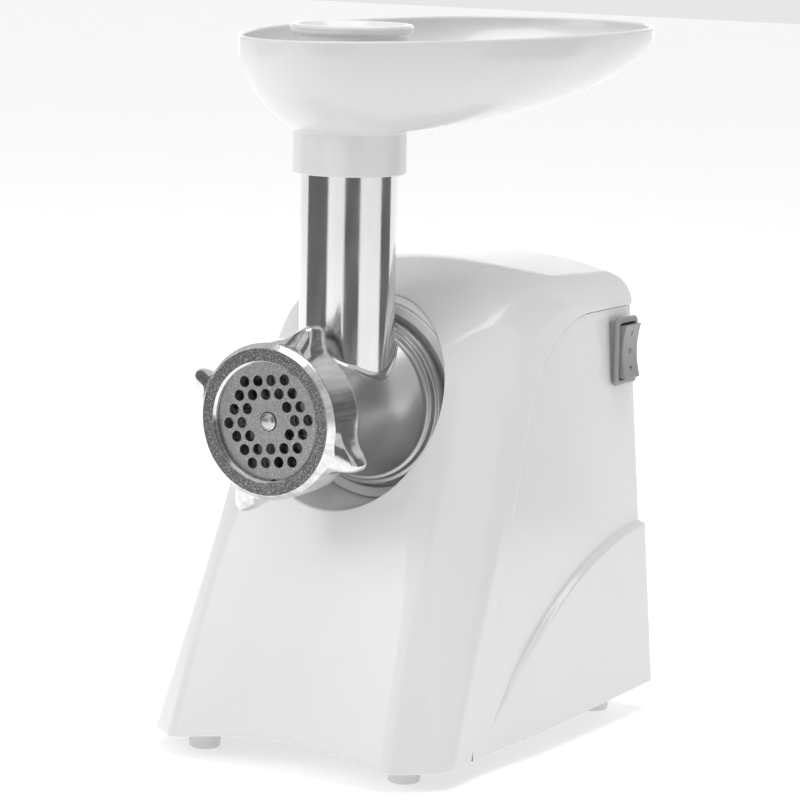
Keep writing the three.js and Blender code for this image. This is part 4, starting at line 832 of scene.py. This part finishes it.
def plate():
    curve = bpy.data.curves.new("plate_outline", "CURVE")
    curve.dimensions = "2D"
    curve.fill_mode = "BOTH"
    curve.extrude = 0.001 * (PLATE_THICKNESS / 2 - PLATE_BEVEL)
    curve.bevel_depth = 0.001 * PLATE_BEVEL
    curve.bevel_resolution = 2
    curve.offset = -0.001 * PLATE_BEVEL

    def loop(points):
        spline = curve.splines.new("POLY")
        spline.points.add(len(points) - 1)
        for k, (a, b) in enumerate(points):
            spline.points[k].co = (a * 0.001, b * 0.001, 0, 1)
        spline.use_cyclic_u = True

    notch = math.radians(-90 + PLATE_TURN)
    rim = []
    for k in range(180):
        a = notch + math.radians(4.0) + math.radians(352.0) * k / 179
        rim.append((PLATE_RADIUS * math.cos(a), PLATE_RADIUS * math.sin(a)))
    for k in range(1, 10):
        a = math.pi * k / 10
        depth, across = 1.8 * math.sin(a), -1.87 * math.cos(a)
        radius = PLATE_RADIUS - depth
        rim.append((radius * math.cos(notch) - across * math.sin(notch),
                    radius * math.sin(notch) + across * math.cos(notch)))
    loop(rim)
    turn = math.radians(PLATE_TURN)
    centres = [(0.0, 0.0, PIN_RADIUS + 0.35)]
    for row in range(-3, 4):
        total = 7 - abs(row)
        for k in range(total):
            x = (k - (total - 1) / 2) * HOLE_PITCH
            z = row * HOLE_PITCH * math.sqrt(3) / 2
            if max(abs(row), abs(x / HOLE_PITCH) + abs(row) / 2) < 1.5:
                continue
            centres.append((x * math.cos(turn) - z * math.sin(turn),
                            x * math.sin(turn) + z * math.cos(turn), HOLE_RADIUS))
    around = [2 * math.pi * k / 40 for k in range(40)]
    for x, z, r in centres:
        loop([(x + r * math.cos(a), z + r * math.sin(a)) for a in around])
    holder = bpy.data.objects.new("plate_outline", curve)
    bpy.context.scene.collection.objects.link(holder)
    bpy.context.view_layer.update()
    mesh = bpy.data.meshes.new_from_object(holder.evaluated_get(bpy.context.evaluated_depsgraph_get()))
    bpy.data.objects.remove(holder)
    mesh.transform(Matrix(((1, 0, 0, 0), (0, 0, -1, (PLATE_THICKNESS / 2 + SHIFT_Y) * 0.001),
                           (0, 1, 0, AXIS_Z * 0.001), (0, 0, 0, 1))))
    mesh.materials.clear()
    mesh.materials.append(PLATE)
    thing = bpy.data.objects.new("hole_plate", mesh)
    bpy.context.scene.collection.objects.link(thing)
    outward(thing)
    settle(thing, "plate", ["cutting_plate"])


barrel()
neck()
ring_nut()
plate()
pin = [(0.0, -1.8), (1.2, -1.74), (2.2, -1.52), (3.0, -1.12), (3.55, -0.6), (PIN_RADIUS, 0.0),
       (3.96, 0.6), (3.96, 3.6)]
turned("auger_pin", pin, PIN, "output_drive", segments=64, closed=False, slot="polished_metal")


# ---- Tray and pusher ----------------------------------------------------------------------

def rim_point(turn, inset):
    across, along = np.cos(turn), np.sin(turn)
    length = np.where(along < 0, TRAY_WIDEST_Y - TRAY_FRONT_Y, TRAY_REAR_Y - TRAY_WIDEST_Y) - inset
    power = np.where(along < 0, TRAY_FRONT_POWER, TRAY_REAR_POWER)
    x = (TRAY_HALF_WIDTH - inset) * np.sign(across) * np.abs(across) ** (2 / power)
    y = TRAY_WIDEST_Y + length * np.sign(along) * np.abs(along) ** (2 / power)
    return x, y


def tray():
    turn = 2 * np.pi * (np.arange(360) + 0.5) / 360

    def bowl(start_radius, start_z, inset, top):
        sx, sy = start_radius * np.cos(turn), NECK_Y + start_radius * np.sin(turn)
        ex, ey = rim_point(turn, inset)
        power = 1.25 + 0.45 * np.clip((np.hypot(ex, ey - NECK_Y) - 60) / 120, 0, 1)
        found = []
        for k in range(31):
            u = math.sin(math.pi / 2 * k / 30)
            rise = 1 - np.sqrt(np.maximum(1 - u ** power, 0))
            found.append(np.stack([sx + (ex - sx) * u, sy + (ey - sy) * u,
                                   start_z + (top - start_z) * rise], -1))
        return found

    half = TRAY_WALL / 2
    top = TRAY_RIM_Z - half
    collar = [(21.5, NECK_TOP_Z + GAP), (21.5, COLLAR_BOTTOM_Z + 0.4), (21.9, COLLAR_BOTTOM_Z),
              (24.4, COLLAR_BOTTOM_Z), (24.8, COLLAR_BOTTOM_Z + 0.15),
              (COLLAR_RADIUS, COLLAR_BOTTOM_Z + 0.6), (COLLAR_RADIUS, COLLAR_TOP_Z - 9),
              (COLLAR_RADIUS, COLLAR_TOP_Z - 1.4), (25.1, COLLAR_TOP_Z - 0.6)]
    rows = [neck_ring(turn, radius, z) for radius, z in collar]
    outer = bowl(COLLAR_RADIUS + 0.5, COLLAR_TOP_Z, 0.0, top)
    inner = bowl(NECK_BORE_RADIUS, COLLAR_TOP_Z + TRAY_WALL, TRAY_WALL, top)
    rows.extend(outer)
    for k in range(1, 8):
        a = math.pi * k / 8
        middle = (outer[-1] + inner[-1]) / 2
        arm = (outer[-1] - inner[-1]) / 2
        point = middle + arm * math.cos(a)
        point[:, 2] = top + half * math.sin(a)
        rows.append(point)
    rows.extend(reversed(inner))
    rows.append(neck_ring(turn, NECK_BORE_RADIUS, NECK_TOP_Z + GAP + 0.3))
    points = np.array(rows)
    faces = grid_faces(points.shape[0], points.shape[1], close_rows=True)
    outward(piece("feed_tray", points, faces.tolist(), TRAY_WHITE, "tray", ["tray"], "housing_plastic"))


tray()
flange = PUSHER_FLANGE_RADIUS
top = PUSHER_TOP_Z
pusher = rounded([(0.0, top - 2.4), (flange - 5, top - 2.4), (flange - 2.6, top), (flange - 0.6, top),
                  (flange, top - 1.2), (flange, top - 3.4), (flange - 2, top - 5), (flange - 2.6, top - 12),
                  (PUSHER_RADIUS, top - 14), (PUSHER_RADIUS, PUSHER_BOTTOM_Z),
                  (PUSHER_RADIUS - PUSHER_WALL, PUSHER_BOTTOM_Z), (PUSHER_RADIUS - PUSHER_WALL, top - 8),
                  (0.0, top - 8)],
                 [0, 1.5, 1.5, 0.8, 0.8, 0.8, 1.0, 1.0, 1.0, 0.6, 0.6, 1.0, 0])
turned("meat_pusher", pusher, WHITE, "pusher", "z", (0.0, NECK_Y), 128, False,
       stands_for=["pusher"], slot="housing_plastic")


# ---- Switch -------------------------------------------------------------------------------

SWITCH_SKIN = HALF_WIDTH - SIDE_DRAFT * SWITCH_Z


def corner_loop(half_y, half_z, radius, x):
    points = []
    for sy, sz, start in [(1, 1, 0), (-1, 1, 90), (-1, -1, 180), (1, -1, 270)]:
        for k in range(9):
            a = math.radians(start + 90 * k / 8)
            points.append((x, SWITCH_Y + sy * (half_y - radius) + radius * math.cos(a),
                           SWITCH_Z + sz * (half_z - radius) + radius * math.sin(a)))
    return points


def switch():
    face = SWITCH_SKIN + BEZEL_PROUD
    under = SWITCH_SKIN + BEZEL_STAND_OFF
    back = SWITCH_SKIN - SWITCH_DEPTH
    (half_y, half_z), (well_y, well_z) = BEZEL_HALF, WELL_HALF
    body_y, body_z = half_y - BEZEL_LIP, half_z - BEZEL_LIP
    rows = [(body_y, body_z, 0.8, back), (body_y, body_z, 0.8, under),
            (half_y, half_z, BEZEL_CORNER, under), (half_y, half_z, BEZEL_CORNER, face - BEZEL_EDGE)]
    for k in range(1, 6):
        a = math.radians(90 * k / 5)
        inset = BEZEL_EDGE * (1 - math.cos(a))
        rows.append((half_y - inset, half_z - inset, BEZEL_CORNER - 0.6 * inset,
                     face - BEZEL_EDGE + BEZEL_EDGE * math.sin(a)))
    rows += [(well_y + 0.4, well_z + 0.4, 1.2, face), (well_y + 0.1, well_z + 0.1, 1.05, face - 0.1),
             (well_y, well_z, 1.0, face - 0.4), (well_y, well_z, 1.0, back)]
    points = np.array([corner_loop(*row) for row in rows])
    faces = grid_faces(points.shape[0], points.shape[1], close_rows=True)
    outward(piece("switch_frame", points, faces.tolist(), TRIM, "housing", ["switch_bezel"], "trim_plastic"))

    # The rocker's side view, [along z, outward from its axis], swept across its width.
    centre = face - ROCKER_AXIS_DEPTH
    half_width, half_length = ROCKER_HALF

    def rise(t):
        return ROCKER_RISE[0] + ROCKER_RISE[1] * t * t

    outline = [(t * half_length, rise(t)) for t in (k / 12 - 1 for k in range(25))]
    outline += [(11.5, -4.0), (3.0, -9.0), (-3.0, -9.0), (-11.5, -4.0)]
    outline = np.array(rounded(outline, [0.5] + [0] * 23 + [0.5] * 5, 4))
    away = outline - outline.mean(0)
    away /= np.linalg.norm(away, axis=1, keepdims=True)
    rows = [(-half_width + step, inset) for step, inset in ((0, 0.5), (0.05, 0.3), (0.2, 0.12), (0.5, 0.0))]
    rows += [(-place, inset) for place, inset in reversed(rows)]
    points = np.array([[(centre + h, SWITCH_Y + place, SWITCH_Z + t) for t, h in outline - away * inset]
                       for place, inset in rows])
    total = points.shape[1]
    faces = grid_faces(points.shape[0], total).tolist()
    faces.append(list(range(total)))
    faces.append([(points.shape[0] - 1) * total + k for k in range(total)])
    outward(piece("rocker_key", points, faces, ROCKER, "rocker", ["switch_rocker"], "trim_plastic"))

    def surface(z):
        return centre + rise(z / half_length)

    def mark(name, loops):
        points, faces = [], []
        for loop in loops:
            start = len(points)
            for lift in (-MARK_DEPTH, MARK_PROUD):
                points += [(surface(z) + lift, SWITCH_Y + y, SWITCH_Z + z) for y, z in loop]
            n = len(loop)
            faces += grid_faces(2, n, start=start).tolist()
            faces.append([start + n + k for k in range(n)])
        outward(piece(name, points, faces, MARK, "rocker", (), "trim_plastic", weighted=False))

    mark("mark_on", [[(-0.25, 7.0), (0.25, 7.0), (0.25, 9.4), (-0.25, 9.4)]])
    ring = []
    for k in range(24):
        a, b = 2 * math.pi * k / 24, 2 * math.pi * (k + 1) / 24
        ring.append([(r * math.cos(turn), r * math.sin(turn))
                     for r, turn in ((1.2, a), (1.2, b), (0.75, b), (0.75, a))])
    mark("mark_off", ring)
    mark("mark_reverse", [[(-1.1, -7.0), (1.1, -7.0), (0.0, -9.3)]])


switch()


# ---- Camera, floor and light --------------------------------------------------------------

camera_data = bpy.data.cameras.new("camera")
camera_data.lens = 162.72
camera_data.sensor_width = 36.0
camera_data.clip_end = 50.0
camera = bpy.data.objects.new("camera", camera_data)
azimuth, elevation, roll_angle = map(math.radians, (31.18, 8.93, 1.17))
look = Vector((-math.sin(azimuth) * math.cos(elevation), math.cos(azimuth) * math.cos(elevation),
               -math.sin(elevation)))
right = Vector((math.cos(azimuth), math.sin(azimuth), 0.0))
up = right.cross(look)
right_rolled = right * math.cos(roll_angle) + up * math.sin(roll_angle)
up_rolled = up * math.cos(roll_angle) - right * math.sin(roll_angle)
turned_frame = Matrix((right_rolled, up_rolled, -look)).transposed().to_4x4()
turned_frame.translation = Vector((0.83935, -1.27829 + SHIFT_Y * 0.001, 0.40798))
camera.matrix_world = turned_frame
bpy.context.scene.collection.objects.link(camera)
bpy.context.scene.camera = camera


def sheet_plane(name, centre, across, upward, material, only_gloss=False):
    c, a, b = Vector(centre), Vector(across), Vector(upward)
    mesh = bpy.data.meshes.new(name)
    mesh.from_pydata([c - a - b, c + a - b, c + a + b, c - a + b], [], [(0, 1, 2, 3)])
    mesh.materials.append(material)
    thing = bpy.data.objects.new(name, mesh)
    bpy.context.scene.collection.objects.link(thing)
    if only_gloss:
        thing.visible_camera = False
        thing.visible_diffuse = False
        thing.visible_shadow = False
        thing.visible_transmission = False
        thing.visible_volume_scatter = False
    return thing


floor_material = plastic("floor_paper", (0.90, 0.90, 0.90), (0.92, 0.92, 0.92), 0.7, 0.02)
glow = floor_material.node_tree.nodes["Principled BSDF"]
glow.inputs["Emission Color"].default_value = (1, 1, 1, 1)
glow.inputs["Emission Strength"].default_value = 0.33
sheet_plane("floor", (0, 0, 0), (6, 0, 0), (0, 6, 0), floor_material)

card_material = plastic("dark_card", (0.10, 0.10, 0.10), (0.13, 0.13, 0.13), 0.9)


def card(name, low, high, height=1.3, radius=0.9):
    # An upright dark grey card around the neck, between two turns in degrees; only gloss sees it.
    middle = math.radians((low + high) / 2)
    half = radius * math.tan(math.radians((high - low) / 2))
    out = Vector((math.cos(middle), math.sin(middle), 0))
    side = Vector((-math.sin(middle), math.cos(middle), 0)) * half
    centre = Vector((0, (NECK_Y + SHIFT_Y) * 0.001, height / 2)) + out * radius
    sheet_plane(name, centre, side, (0, 0, height / 2), card_material, True)


card("card_left", -171.0, -108.0)
card("card_front", -67.0, -31.0)
card("card_right", 25.0, 60.0)

world = bpy.data.worlds.new("studio")
world.use_nodes = True
tree = world.node_tree
ambient = tree.nodes["Background"]
ambient.inputs["Color"].default_value = (1, 1, 1, 1)
ambient.inputs["Strength"].default_value = 0.65
backdrop = tree.nodes.new("ShaderNodeBackground")
backdrop.inputs["Strength"].default_value = 1.0
ray = tree.nodes.new("ShaderNodeLightPath")
choose = tree.nodes.new("ShaderNodeMixShader")
tree.links.new(ray.outputs["Is Camera Ray"], choose.inputs[0])
tree.links.new(ambient.outputs[0], choose.inputs[1])
tree.links.new(backdrop.outputs[0], choose.inputs[2])
tree.links.new(choose.outputs[0], tree.nodes["World Output"].inputs["Surface"])
bpy.context.scene.world = world
bpy.context.scene.view_settings.view_transform = "Standard"


def area_light(name, place, target, size, power):
    data = bpy.data.lights.new(name, "AREA")
    data.shape = "RECTANGLE"
    data.size, data.size_y = size
    data.energy = power
    light = bpy.data.objects.new(name, data)
    light.location = place
    light.rotation_euler = (Vector(target) - Vector(place)).to_track_quat("-Z", "Y").to_euler()
    bpy.context.scene.collection.objects.link(light)
    return light


area_light("key", (-1.1, -1.6, 1.2), (0, 0, 0.15), (1.0, 1.0), 10)
area_light("overhead", (0.1, 0.1, 1.8), (0, 0, 0.1), (1.2, 1.2), 13)
back = area_light("back", (-1.04, 1.71, 0.5), (0, 0, 0.2), (1.8, 0.8), 3.0)
back.visible_camera = False
